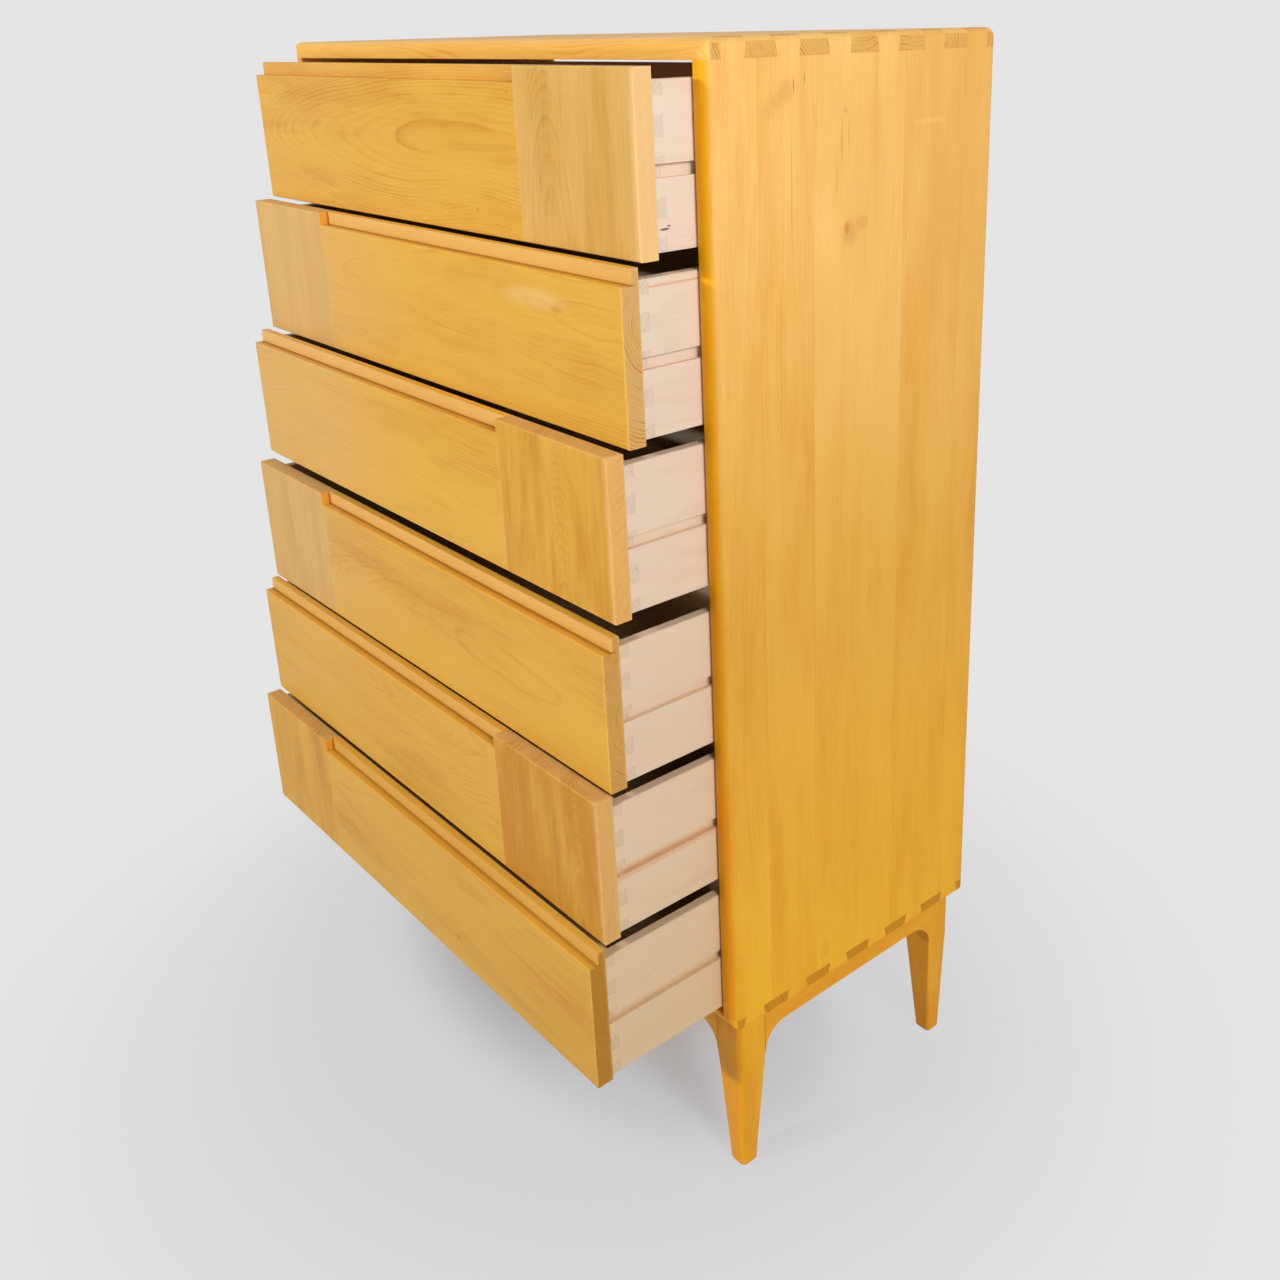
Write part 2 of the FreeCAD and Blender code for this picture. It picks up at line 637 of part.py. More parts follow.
def build_frame(base_holes):
    long_tenons, short_tenons = {}, {}
    for side_name, side in SIDES:
        for end_name, front in (("front", True), ("rear", False)):
            place_name = f"{end_name}_{side_name}"
            long_tenons[side, front] = long_tenon(f"long_tenon_{place_name}", side, front)
            short_tenons[side, front] = short_tenon(f"short_tenon_{place_name}", side, front)
            leg(f"leg_{place_name}", side, front, [long_tenons[side, front], short_tenons[side, front]])
    span = f"2 * ({HALF_WIDTH} - Sizes.leg_width)"
    for end_name, front in (("front", True), ("rear", False)):
        y = FRAME_FRONT if front else f"{FRAME_REAR} - Sizes.rail_thickness"
        rail(f"rail_{end_name}", (span, "Sizes.rail_thickness"), (f"-({HALF_WIDTH} - Sizes.leg_width)", y),
             "x", [long_tenons[side, front] for _, side in SIDES], base_holes)
    depth = f"{FRAME_REAR} - {FRAME_FRONT} - 2 * Sizes.leg_depth"
    for side_name, side in SIDES:
        x = f"{HALF_WIDTH} - Sizes.rail_thickness" if side > 0 else f"-{HALF_WIDTH}"
        rail(f"rail_{side_name}", ("Sizes.rail_thickness", depth), (x, f"{FRAME_FRONT} + Sizes.leg_depth"),
             "y", [short_tenons[side, front] for front in (True, False)], base_holes)


# ---------------------------------------------------------------- drawers

BOX_TAIL = (
    f"(({BOX_HEIGHT} - {DRAWER_PINS} * Sizes.box_pin_width - 2 * Sizes.box_half_pin_width)"
    f" / {DRAWER_PINS + 1})"
)
# turns a wedge's X and Z to the world's Z and -X
SIDEWAYS = FreeCAD.Rotation(FreeCAD.Vector(0, 1, 0), -90)


def drawer_pins(number, side_name, side):
    """The box front's pins through one box side, bottom to top."""
    outer_x = HALF_FACE if side > 0 else f"-{HALF_BOX_INSIDE}"
    slope = "Sizes.box_pin_slope"
    bottom = box_bottom(number)
    rows = [(bottom, "Sizes.box_half_pin_width", ("0", slope))]
    for step in range(DRAWER_PINS):
        start = (f"{bottom} + Sizes.box_half_pin_width + {BOX_TAIL}"
                 f" + {step} * (Sizes.box_pin_width + {BOX_TAIL})")
        rows.append((start, "Sizes.box_pin_width", (slope, slope)))
    half_pin = "Sizes.box_half_pin_width"
    rows.append((f"{bottom} + {BOX_HEIGHT} - {half_pin}", half_pin, (slope, "0")))
    return [
        pin(f"drawer_{number}_pin_{side_name}_{index}", width, slopes,
            ("Sizes.box_front_thickness", "widens"), "Sizes.box_side_thickness", SIDEWAYS,
            (outer_x, box_front(number), start))
        for index, (start, width, slopes) in enumerate(rows)
    ]


def drawer_face(number, block_side, holes):
    """The face: a board with the finger recess along its top edge, and an upright end block."""
    name = f"drawer_{number}_face"
    front, bottom = value(face_front(number)), value(face_bottom(number))
    top = bottom + value(FACE_HEIGHT)
    block_inner = block_side * (value(HALF_FACE) - value("Sizes.face_block_width"))
    soft = value("Sizes.face_edge_radius")
    board_width = f"(2 * {HALF_FACE} - Sizes.face_block_width)"
    board_x = f"-{HALF_FACE}" if block_side > 0 else f"-{HALF_FACE} + Sizes.face_block_width"
    block_x = f"{HALF_FACE} - Sizes.face_block_width" if block_side > 0 else f"-{HALF_FACE}"

    raw = slab(name + "_board_raw", (board_width, "Sizes.face_thickness", FACE_HEIGHT),
               (board_x, face_front(number), face_bottom(number)))
    mill = slab(name + "_mill",
                (board_width, "2 * Sizes.recess_depth", "2 * Sizes.recess_height"),
                (board_x, f"{face_front(number)} - Sizes.recess_depth",
                 f"{face_bottom(number)} + {FACE_HEIGHT} - Sizes.recess_height"))
    floor = top - value("Sizes.recess_height")
    back = front + value("Sizes.recess_depth")
    cove = round_edges(
        name + "_cove", mill,
        lambda middle, direction: value("Sizes.recess_cove_radius")
        if along(direction, "x") and near(middle.z, floor) and near(middle.y, back) else 0)
    milled = cut(name + "_milled", raw, cove)

    def softened(middle, direction):
        at_joint = near(middle.x, block_inner)
        return soft if near(middle.y, front) and not at_joint else 0

    board = round_edges(name + "_board_soft", milled, softened)
    keep(cut(name + "_board", board, holes), name + "_board")

    block_raw = slab(name + "_block_raw", ("Sizes.face_block_width", "Sizes.face_thickness", FACE_HEIGHT),
                     (block_x, face_front(number), face_bottom(number)))
    block = round_edges(name + "_block_soft", block_raw, softened)
    keep(cut(name + "_block", block, holes), name + "_block")


def drawer_box(number, holes):
    name = f"drawer_{number}"
    start, bottom = box_front(number), box_bottom(number)
    top_edge = value(bottom) + value(BOX_HEIGHT)
    bottom_groove_z = f"{bottom} + Sizes.bottom_rise"
    back_y = f"{start} + Sizes.box_length - Sizes.box_back_inset - Sizes.box_back_thickness"
    above_bottom = f"({bottom} + Sizes.bottom_rise + Sizes.bottom_thickness)"
    back_height = f"{bottom} + {BOX_HEIGHT} - {above_bottom}"
    half_back = f"({HALF_BOX_INSIDE} + Sizes.box_dado_depth)"
    half_bottom = f"({HALF_BOX_INSIDE} + Sizes.bottom_groove_depth)"

    runner_grooves = [
        slab(f"{name}_runner_groove_{side_name}",
             ("Sizes.runner_groove_depth", "Sizes.box_length", GROOVE_HEIGHT),
             (f"{HALF_FACE} - Sizes.runner_groove_depth" if side > 0 else f"-{HALF_FACE}", start,
              groove_bottom(number)))
        for side_name, side in SIDES
    ]
    bottom_groove = slab(
        name + "_bottom_groove",
        (f"2 * {half_bottom}",
         "Sizes.box_length - Sizes.box_front_thickness + Sizes.bottom_groove_depth",
         "Sizes.bottom_thickness"),
        (f"-{half_bottom}", f"{start} + Sizes.box_front_thickness - Sizes.bottom_groove_depth",
         bottom_groove_z))
    dado = slab(name + "_dado", (f"2 * {half_back}", "Sizes.box_back_thickness", back_height),
                (f"-{half_back}", back_y, above_bottom))

    pins, boards = [], []
    for side_name, side in SIDES:
        pins += drawer_pins(number, side_name, side)
        raw = slab(f"{name}_side_{side_name}_raw",
                   ("Sizes.box_side_thickness", "Sizes.box_length", BOX_HEIGHT),
                   (HALF_BOX_INSIDE if side > 0 else f"-{HALF_FACE}", start, bottom))
        boards.append(round_edges(
            f"{name}_side_{side_name}_soft", raw,
            lambda middle, direction: value("Sizes.box_edge_radius")
            if along(direction, "y") and near(middle.z, top_edge) else 0))
    keep(cut(name + "_sides", gather(name + "_side_pair", boards), *runner_grooves, bottom_groove, dado,
             *pins), name + "_sides")

    panel = slab(name + "_front_panel", (f"2 * {HALF_BOX_INSIDE}", "Sizes.box_front_thickness", BOX_HEIGHT),
                 (f"-{HALF_BOX_INSIDE}", start, bottom))
    front = fuse(name + "_front_whole", [panel, *pins])
    keep(cut(name + "_box_front", front, *runner_grooves, bottom_groove, holes), name + "_box_front")

    keep(slab(name + "_box_back", (f"2 * {half_back}", "Sizes.box_back_thickness", back_height),
              (f"-{half_back}", back_y, above_bottom)), name + "_box_back")

    half_panel = f"({half_bottom} - Sizes.bottom_clearance)"
    panel_start = (f"({start} + Sizes.box_front_thickness - Sizes.bottom_groove_depth"
                   " + Sizes.bottom_clearance)")
    keep(slab(name + "_bottom",
              (f"2 * {half_panel}",
               f"{back_y} + Sizes.box_back_thickness - {panel_start}", "Sizes.bottom_thickness"),
              (f"-{half_panel}", panel_start, bottom_groove_z)), name + "_bottom")


def build_drawer(number):
    block_side = 1 if number % 2 else -1
    screws, holes = screws_and_holes(f"drawer_{number}_face_screws", "face", (0, -1, 0),
                                     face_screw_points(number))
    keep(screws, f"drawer_{number}_face_screws")
    drawer_face(number, block_side, holes)
    drawer_box(number, holes)


# ---------------------------------------------------------------- build, test and write

build_frame(build_case())
for drawer_number in range(1, DRAWERS + 1):
    build_drawer(drawer_number)
doc.recompute()

for item in doc.Objects:
    if "Invalid" in item.State or "Error" in item.State:
        raise RuntimeError(f"{item.Name} failed: {item.State}")
for node, item in nodes.items():
    if item.Shape.isNull() or not item.Shape.isValid() or not item.Shape.Solids:
        raise RuntimeError(f"{node} has no valid solid")

os.makedirs("parts", exist_ok=True)
for node, item in nodes.items():
    item.Shape.exportStep(f"parts/{node}.step")
print(len(nodes), "nodes,", sum(len(item.Shape.Solids) for item in nodes.values()), "solids")
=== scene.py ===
import math

import bmesh
import bpy
from mathutils import Matrix, Vector


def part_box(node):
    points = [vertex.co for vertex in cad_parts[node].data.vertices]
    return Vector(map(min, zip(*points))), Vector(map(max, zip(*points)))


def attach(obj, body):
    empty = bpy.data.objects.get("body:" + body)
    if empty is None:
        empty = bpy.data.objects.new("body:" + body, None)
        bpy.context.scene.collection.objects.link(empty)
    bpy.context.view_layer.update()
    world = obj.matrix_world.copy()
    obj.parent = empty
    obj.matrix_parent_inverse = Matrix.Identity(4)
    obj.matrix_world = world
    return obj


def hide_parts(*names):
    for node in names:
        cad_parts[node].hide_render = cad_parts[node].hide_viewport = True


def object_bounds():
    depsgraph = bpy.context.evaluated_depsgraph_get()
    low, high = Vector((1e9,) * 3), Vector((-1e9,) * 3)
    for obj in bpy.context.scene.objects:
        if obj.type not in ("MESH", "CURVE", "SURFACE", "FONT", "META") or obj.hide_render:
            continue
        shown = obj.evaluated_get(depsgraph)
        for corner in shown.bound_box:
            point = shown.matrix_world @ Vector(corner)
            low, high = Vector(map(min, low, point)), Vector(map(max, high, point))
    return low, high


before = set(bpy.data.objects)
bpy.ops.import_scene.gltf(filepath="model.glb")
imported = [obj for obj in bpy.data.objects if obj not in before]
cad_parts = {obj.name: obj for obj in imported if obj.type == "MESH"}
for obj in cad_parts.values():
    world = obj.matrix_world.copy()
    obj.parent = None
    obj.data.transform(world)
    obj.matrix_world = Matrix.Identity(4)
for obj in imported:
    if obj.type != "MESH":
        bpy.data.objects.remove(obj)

# A six-drawer highboy in oiled blond wood, standing on a pale studio floor. Everything is in metres.
# The case, legs and drawers are the fixed frame's own solids; here they get their timber, and the
# screws are made with their real heads. Each drawer's screws ride on that drawer.

cad_box = [list(corner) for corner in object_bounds()]
HEIGHT = cad_box[1][2]
DRAWERS = range(1, 7)
# the body that stands still and that the drawers slide in
ROOT = "carcase"


# ---------------------------------------------------------------- colours


def colour(red, green, blue):
    """A colour whose channels are given in 255ths, as the linear colour that shaders take."""
    channels = [channel / 255 for channel in (red, green, blue)]
    linear = [c / 12.92 if c <= 0.04045 else ((c + 0.055) / 1.055) ** 2.4 for c in channels]
    return (*linear, 1.0)


WOODS = {
    # light wood, dark wood, ring lines, pores, end grain
    "case": (colour(251, 199, 116), colour(236, 168, 68), colour(224, 148, 50), colour(170, 96, 26),
             colour(220, 170, 96)),
    "face": (colour(233, 177, 66), colour(206, 136, 30), colour(198, 128, 26), colour(176, 108, 26),
             colour(216, 172, 106)),
    "pale_face": (colour(229, 180, 96), colour(202, 148, 56), colour(194, 134, 44), colour(176, 112, 32),
                  colour(216, 174, 108)),
    "drawer": (colour(234, 211, 189), colour(224, 195, 167), colour(210, 174, 142), colour(188, 152, 124),
               colour(224, 202, 181)),
    "runner": (colour(226, 186, 140), colour(206, 160, 112), colour(180, 134, 90), colour(140, 100, 66),
               colour(170, 126, 84)),
    "panel": (colour(234, 202, 156), colour(218, 180, 128), colour(190, 148, 96), colour(150, 110, 70),
              colour(196, 156, 110)),
}
# small things in the wood: knots, splits, rubbed spots and lines of resin
KNOT = colour(190, 108, 30)
CHECK = colour(70, 38, 16)
PALE = colour(252, 214, 144)
AMBER = colour(226, 148, 84)
# wide, soft changes of tone over a board, and a pale painted highlight where a face block's right
# end takes the light
SHADY = colour(220, 158, 62)
PAINTED_END_HIGHLIGHT = colour(252, 208, 150)
MILKY = colour(222, 180, 122)
# the finger recess: a painted glow on its closed end, painted shade in its inner corner, and a
# painted highlight on its wall, which the edges of a face take too
PAINTED_GLOW = colour(240, 160, 34)
PAINTED_CORNER_SHADE = colour(160, 98, 16)
PAINTED_HIGHLIGHT = colour(244, 192, 112)


# ---------------------------------------------------------------- shader building blocks


def feed(tree, socket, value):
    """Links value to socket if it comes from another node, and sets it otherwise."""
    if isinstance(value, bpy.types.NodeSocket):
        tree.links.new(value, socket)
    else:
        socket.default_value = value


def add(tree, kind, inputs=None, **settings):
    """A new node with its settings, and its inputs given by name or number."""
    node = tree.nodes.new(kind)
    for name, setting in settings.items():
        setattr(node, name, setting)
    for key, value in (inputs or {}).items():
        feed(tree, node.inputs[key], value)
    return node


def calc(tree, operation, *values):
    """One step of arithmetic on numbers."""
    node = add(tree, "ShaderNodeMath", operation=operation)
    for socket, value in zip(node.inputs, values):
        feed(tree, socket, value)
    return node.outputs[0]


def total(tree, first, *others):
    """The sum of numbers."""
    for other in others:
        first = calc(tree, "ADD", first, other)
    return first


def product(tree, first, *others):
    """Numbers multiplied by each other."""
    for other in others:
        first = calc(tree, "MULTIPLY", first, other)
    return first


def ramp(tree, value, start, end, low=0.0, high=1.0):
    """A smooth rise from low to high as value goes from start to end."""
    node = add(tree, "ShaderNodeMapRange", interpolation_type="SMOOTHSTEP")
    for key, number in zip(("Value", "From Min", "From Max", "To Min", "To Max"),
                           (value, start, end, low, high)):
        feed(tree, node.inputs[key], number)
    return node.outputs[0]


# a mix node's factor and two colours, and its mixed colour, by number since its sockets share names
MIX_INPUTS = (0, 6, 7)
MIX_OUTPUT = 2


def blend(tree, factor, under, over, mode="MIX"):
    """Lays the colour over onto the colour under."""
    node = add(tree, "ShaderNodeMix", data_type="RGBA", blend_type=mode)
    for index, value in zip(MIX_INPUTS, (factor, under, over)):
        feed(tree, node.inputs[index], value)
    return node.outputs[MIX_OUTPUT]


def combine(tree, x, y, z):
    return add(tree, "ShaderNodeCombineXYZ", {"X": x, "Y": y, "Z": z}).outputs[0]


def split(tree, vector):
    return add(tree, "ShaderNodeSeparateXYZ", {0: vector}).outputs


def scaled(tree, vector, scale):
    """A vector drawn out by its own scale on each axis."""
    return add(tree, "ShaderNodeVectorMath", {0: vector, 1: scale}, operation="MULTIPLY").outputs[0]


def length_of(tree, vector):
    return add(tree, "ShaderNodeVectorMath", {0: vector}, operation="LENGTH").outputs["Value"]


def difference(tree, first, second):
    return add(tree, "ShaderNodeVectorMath", {0: first, 1: second}, operation="SUBTRACT").outputs[0]


def noise(tree, vector, detail=2.0, roughness=0.5):
    return add(tree, "ShaderNodeTexNoise",
               {"Vector": vector, "Scale": 1.0, "Detail": detail, "Roughness": roughness})


def new_group(name, inputs, outputs):
    """An empty node group; inputs and outputs are (name, kind of socket) pairs."""
    group = bpy.data.node_groups.new(name, "ShaderNodeTree")
    for way, sockets in (("INPUT", inputs), ("OUTPUT", outputs)):
        for label, kind in sockets:
            group.interface.new_socket(label, in_out=way, socket_type="NodeSocket" + kind)
    given = group.nodes.new("NodeGroupInput").outputs
    result = group.nodes.new("NodeGroupOutput").inputs
    return group, given, result


def use(tree, group, **inputs):
    """Places a group; an input Heart_Across=... feeds the group's input "Heart Across"."""
    node = add(tree, "ShaderNodeGroup", node_tree=group)
    for key, value in inputs.items():
        feed(tree, node.inputs[key.replace("_", " ")], value)
    return node.outputs


def relief(tree, height, strength, distance):
    """The surface's normal, tilted as its height rises and falls."""
    return add(tree, "ShaderNodeBump",
               {"Height": height, "Strength": strength, "Distance": distance}).outputs[0]


def new_material(name, **settings):
    """A material, its node tree and its shader; Coat_Weight=... sets the input "Coat Weight"."""
    material = bpy.data.materials.new(name)
    material.use_nodes = True
    shader = material.node_tree.nodes["Principled BSDF"]
    for key, value in settings.items():
        shader.inputs[key.replace("_", " ")].default_value = value
    return material, material.node_tree, shader


def place_object(name, data):
    """A new object in the scene."""
    thing = bpy.data.objects.new(name, data)
    bpy.context.scene.collection.objects.link(thing)
    return thing


# ---------------------------------------------------------------- timber

# how fine each pattern is, in turns a metre, along and across the grain
BENDS = (2.6, 9.0)
FADING = (9.0, 34.0)
STREAKS = (6.0, 380.0)
PORES = (34.0, 1150.0)
CLOUDS = (2.2, 11.0)
FLAMES = (8.0, 46.0)
# the rings' widths vary with the distance from the heart: in turns a metre, and by how many rings
WIDTH_CHANGES = 45.0
WIDTH_VARIES = 2.4
# a year's growth runs from 0 to 1: where its late wood and its dark line build up, and where both fade
LATE_WOOD = (0.1, 0.9)
RING_LINE = (0.66, 0.9)
YEAR_END = (0.88, 1.0)
# a knot bends the rings about twice as far along the grain as across it
KNOT_SLIMNESS = 0.45
# how far along the grain one seed's pattern lies from the next one's
SEED_STEP = 1.37
# between which values a pattern begins and ceases to count, and what it counts for at either
FAINT_STRETCHES = (0.36, 0.64, 0.3, 1.0)
YEAR_STRENGTH = (0.0, 1.0, 0.35, 1.0)
LINES_SEEN = (0.2, 0.9)
PORES_SEEN = (0.62, 0.74)
# what a figure is made of, each with its own mask
FIGURE_PARTS = ("Ring", "Line", "Streak", "Pore", "Cloud", "Flame")


def make_figure():
    """The growth rings, fibres and pores of a board cut from a log.

    The rings are rounds about the log's heart, which runs along the board. The log swells at its
    crown, so that the rings close in long ovals there, and round a knot."""
    names = ("Along", "Across", "Through", "Heart Across", "Heart Through", "Ring Width", "Crown At",
             "Crown Rise", "Knot Along", "Knot Across", "Knot Size", "Knot Swell", "Wander", "Seed")
    group, given, result = new_group("timber_figure", [(name, "Float") for name in names],
                                     [(name, "Float") for name in FIGURE_PARTS])
    along, across, through, seed = (given[name] for name in ("Along", "Across", "Through", "Seed"))
    shifted = calc(group, "MULTIPLY_ADD", seed, SEED_STEP, along)

    def grainy(fineness, detail=2.0, roughness=0.5, output="Fac"):
        """A random pattern drawn out along the grain."""
        lengthwise, crosswise = fineness
        place = combine(group, product(group, shifted, lengthwise), product(group, across, crosswise),
                        product(group, through, crosswise))
        return noise(group, place, detail, roughness).outputs[output]

    bend = split(group, grainy(BENDS, detail=4.0, output="Color"))
    sideways = product(group, calc(group, "SUBTRACT", bend[0], 0.5), given["Wander"])
    inward = product(group, calc(group, "SUBTRACT", bend[1], 0.5), given["Wander"])
    from_heart = [
        calc(group, "SUBTRACT", total(group, across, sideways), given["Heart Across"]),
        calc(group, "SUBTRACT", total(group, through, inward), given["Heart Through"]),
    ]
    distance = calc(group, "SQRT", total(group, *(product(group, away, away) for away in from_heart)))
    from_crown = calc(group, "SUBTRACT", along, given["Crown At"])
    crown = product(group, from_crown, from_crown, given["Crown Rise"])
    from_knot = [
        product(group, calc(group, "SUBTRACT", along, given["Knot Along"]), KNOT_SLIMNESS),
        calc(group, "SUBTRACT", across, given["Knot Across"]),
    ]
    spread = calc(group, "DIVIDE", total(group, *(product(group, away, away) for away in from_knot)),
                  product(group, given["Knot Size"], given["Knot Size"]))
    knot = product(group, calc(group, "EXPONENT", product(group, spread, -1.0)), given["Knot Swell"])
    radius = total(group, distance, crown, knot)

    outward = combine(group, product(group, radius, WIDTH_CHANGES), seed, 0.0)
    uneven = noise(group, outward, detail=1.0).outputs["Fac"]
    rings = calc(group, "MULTIPLY_ADD", uneven, WIDTH_VARIES,
                 calc(group, "DIVIDE", radius, given["Ring Width"]))
    year = calc(group, "FLOOR", rings)
    season = calc(group, "FRACT", rings)
    strength = add(group, "ShaderNodeTexWhiteNoise", {"W": total(group, year, seed)},
                   noise_dimensions="1D").outputs["Value"]
    faint = ramp(group, grainy(FADING), *FAINT_STRETCHES)
    strength = product(group, strength, faint)
    fade = ramp(group, season, *YEAR_END, 1.0, 0.0)
    late = product(group, ramp(group, season, *LATE_WOOD), fade)
    line = product(group, ramp(group, season, *RING_LINE), fade)
    feed(group, result["Ring"], product(group, late, ramp(group, strength, *YEAR_STRENGTH)))
    feed(group, result["Line"], product(group, line, ramp(group, strength, *LINES_SEEN)))
    feed(group, result["Streak"], grainy(STREAKS, detail=3.0, roughness=0.6))
    feed(group, result["Pore"], ramp(group, grainy(PORES, detail=1.0), *PORES_SEEN))
    feed(group, result["Cloud"], grainy(CLOUDS))
    feed(group, result["Flame"], grainy(FLAMES, detail=3.0, roughness=0.6))
    return group


# from the tone that shows the light wood alone to the tone that shows the dark wood alone
TONE_REACH = (-0.25, 1.1)
RING_DEPTH = 0.45
LINE_DEPTH = 0.4
PORE_DEPTH = 0.2
END_DEPTH = 0.85
# how far the patterns darken or lighten the wood about its own tone
PATTERN_DEPTHS = {"Streak": 0.7, "Cloud": 2.4, "Flame": 2.0}
# and how far the rings, their lines and the streaks darken end grain
CUT_DEPTHS = (0.8, 1.1, 0.8)
PLAIN_ROUGHNESS = 0.42
# how much each part of the figure and the end grain roughen the surface, and how far each stands up
ROUGHER = {"Streak": 0.12, "Pore": 0.1, "End": 0.16}
RAISED = {"Streak": 0.5, "Pore": -0.7, "Line": -0.15}


def make_tint():
    """The timber's colour, roughness and height from its figure; End is 1 on end grain.

    Contrast is how strongly the whole figure shows, and Rings how strongly its rings do."""
    colours = ("Light", "Dark", "Line Colour", "Pore Colour", "End Colour", "Edge Colour")
    numbers = (*FIGURE_PARTS, "Tone", "Contrast", "Rings", "End", "Edge")
    group, given, result = new_group(
        "timber_tint", [(name, "Color") for name in colours] + [(name, "Float") for name in numbers],
        [("Color", "Color"), ("Roughness", "Float"), ("Height", "Float")])

    def weighed(name, weight):
        return product(group, given[name], weight)

    def about(name, weight):
        """The same for a pattern that swings about one half."""
        return product(group, calc(group, "SUBTRACT", given[name], 0.5), weight)

    figure = total(group, product(group, given["Ring"], given["Rings"], RING_DEPTH),
                   *(about(name, weight) for name, weight in PATTERN_DEPTHS.items()))
    shade = total(group, product(group, figure, given["Contrast"]), given["Tone"])
    wood = blend(group, ramp(group, shade, *TONE_REACH), given["Light"], given["Dark"])
    lined = product(group, given["Line"], given["Rings"], given["Contrast"], LINE_DEPTH)
    wood = blend(group, lined, wood, given["Line Colour"])
    pored = product(group, given["Pore"], given["Contrast"], PORE_DEPTH)
    wood = blend(group, pored, wood, given["Pore Colour"])
    rings, lines, streaks = CUT_DEPTHS
    grained = total(group, weighed("Ring", rings), weighed("Line", lines), about("Streak", streaks))
    cut = blend(group, product(group, grained, given["Contrast"]), given["End Colour"],
                given["Pore Colour"])
    wood = blend(group, weighed("End", END_DEPTH), wood, cut)
    wood = blend(group, given["Edge"], wood, given["Edge Colour"])
    feed(group, result["Color"], wood)
    feed(group, result["Roughness"],
         total(group, PLAIN_ROUGHNESS, *(weighed(name, weight) for name, weight in ROUGHER.items())))
    feed(group, result["Height"], total(group, *(weighed(name, weight) for name, weight in RAISED.items())))
    return group


# the breaks in the band of worn colour or painted highlight along edges, in turns a metre, and how
# far they narrow and widen it
EDGE_BREAK_FINENESS = (60.0, 60.0, 60.0)
EDGE_BREAK_SPREAD = (0.25, 0.75, 0.3, 1.7)


def make_edge_wear_or_highlight():
    """1 along the edges of a squared board that lies between Low and High, with a broken border."""
    group, given, result = new_group(
        "edge_wear_or_highlight", [("Position", "Vector"), ("Low", "Vector"), ("High", "Vector"), ("Width", "Float")],
        [("Edge", "Float")])
    above = split(group, difference(group, given["Position"], given["Low"]))
    below = split(group, difference(group, given["High"], given["Position"]))
    depths = [calc(group, "MINIMUM", above[axis], below[axis]) for axis in range(3)]
    least = calc(group, "MINIMUM", calc(group, "MINIMUM", depths[0], depths[1]), depths[2])
    most = calc(group, "MAXIMUM", calc(group, "MAXIMUM", depths[0], depths[1]), depths[2])
    middle = calc(group, "SUBTRACT", calc(group, "SUBTRACT", total(group, *depths), least), most)
    broken = noise(group, scaled(group, given["Position"], EDGE_BREAK_FINENESS)).outputs["Fac"]
    reach = product(group, given["Width"], ramp(group, broken, *EDGE_BREAK_SPREAD))
    feed(group, result["Edge"], ramp(group, calc(group, "DIVIDE", middle, reach), 0.0, 1.0, 1.0, 0.0))
    return group


# how far from the joint of two staves its line starts to fade and is gone
JOINT_HALF_WIDTH = (0.0002, 0.0008)
JOINT_DEPTH = 0.3
STAVE_SEED_STEP = 5.3
# within which limits chance places the heart and the crown of a stave's log, from the board's middle
HEART_ACROSS = (-0.1, 0.1)
HEART_THROUGH = (0.03, 0.11)
CROWN_SHIFT = (-0.4, 0.4)


def make_staves():
    """Which stave of a glued-up panel a point is in: its own seed, tone and place in the log."""
    joints = [f"Joint {number}" for number in range(1, 5)]
    tones = [f"Tone {number}" for number in range(1, 6)]
    group, given, result = new_group(
        "staves", [(name, "Float") for name in ("Across", *joints, *tones, "Seed")],
        [(name, "Float") for name in ("Seed", "Heart Across", "Heart Through", "Crown Shift", "Tone",
                                      "Joint")])
    count, tone, nearest = 0.0, given["Tone 1"], 1.0
    for name, before, after in zip(joints, tones, tones[1:]):
        past = calc(group, "SUBTRACT", given["Across"], given[name])
        beyond = calc(group, "GREATER_THAN", past, 0.0)
        count = calc(group, "ADD", beyond, count)
        tone = calc(group, "MULTIPLY_ADD", beyond, calc(group, "SUBTRACT", given[after], given[before]), tone)
        nearest = calc(group, "MINIMUM", calc(group, "ABSOLUTE", past), nearest)
    own = add(group, "ShaderNodeTexWhiteNoise", {"W": total(group, count, given["Seed"])},
              noise_dimensions="1D").outputs
    chances = split(group, own["Color"])
    feed(group, result["Seed"], calc(group, "MULTIPLY_ADD", count, STAVE_SEED_STEP, given["Seed"]))
    limits = {"Heart Across": HEART_ACROSS, "Heart Through": HEART_THROUGH, "Crown Shift": CROWN_SHIFT}
    for chance, (name, (least, most)) in zip(chances, limits.items()):
        feed(group, result[name], calc(group, "MULTIPLY_ADD", chance, most - least, least))
    feed(group, result["Tone"], tone)
    feed(group, result["Joint"], ramp(group, nearest, *JOINT_HALF_WIDTH, 1.0, 0.0))
    return group


# the share of a mark's reach from which it fades
SOFT_FROM = 0.35


def make_mark():
    """A soft oval spot, such as a pin knot, a check in the wood or a dent."""
    group, given, result = new_group(
        "mark", [("Position", "Vector"), ("Centre", "Vector"), ("Reach", "Vector")], [("Mask", "Float")])
    offset = difference(group, given["Position"], given["Centre"])
    shrunk = add(group, "ShaderNodeVectorMath", {0: offset, 1: given["Reach"]}, operation="DIVIDE").outputs[0]
    feed(group, result["Mask"], ramp(group, length_of(group, shrunk), SOFT_FROM, 1.0, 1.0, 0.0))
    return group


FIGURE = make_figure()
TINT = make_tint()
EDGE_WEAR_OR_HIGHLIGHT = make_edge_wear_or_highlight()
STAVES = make_staves()
MARK = make_mark()
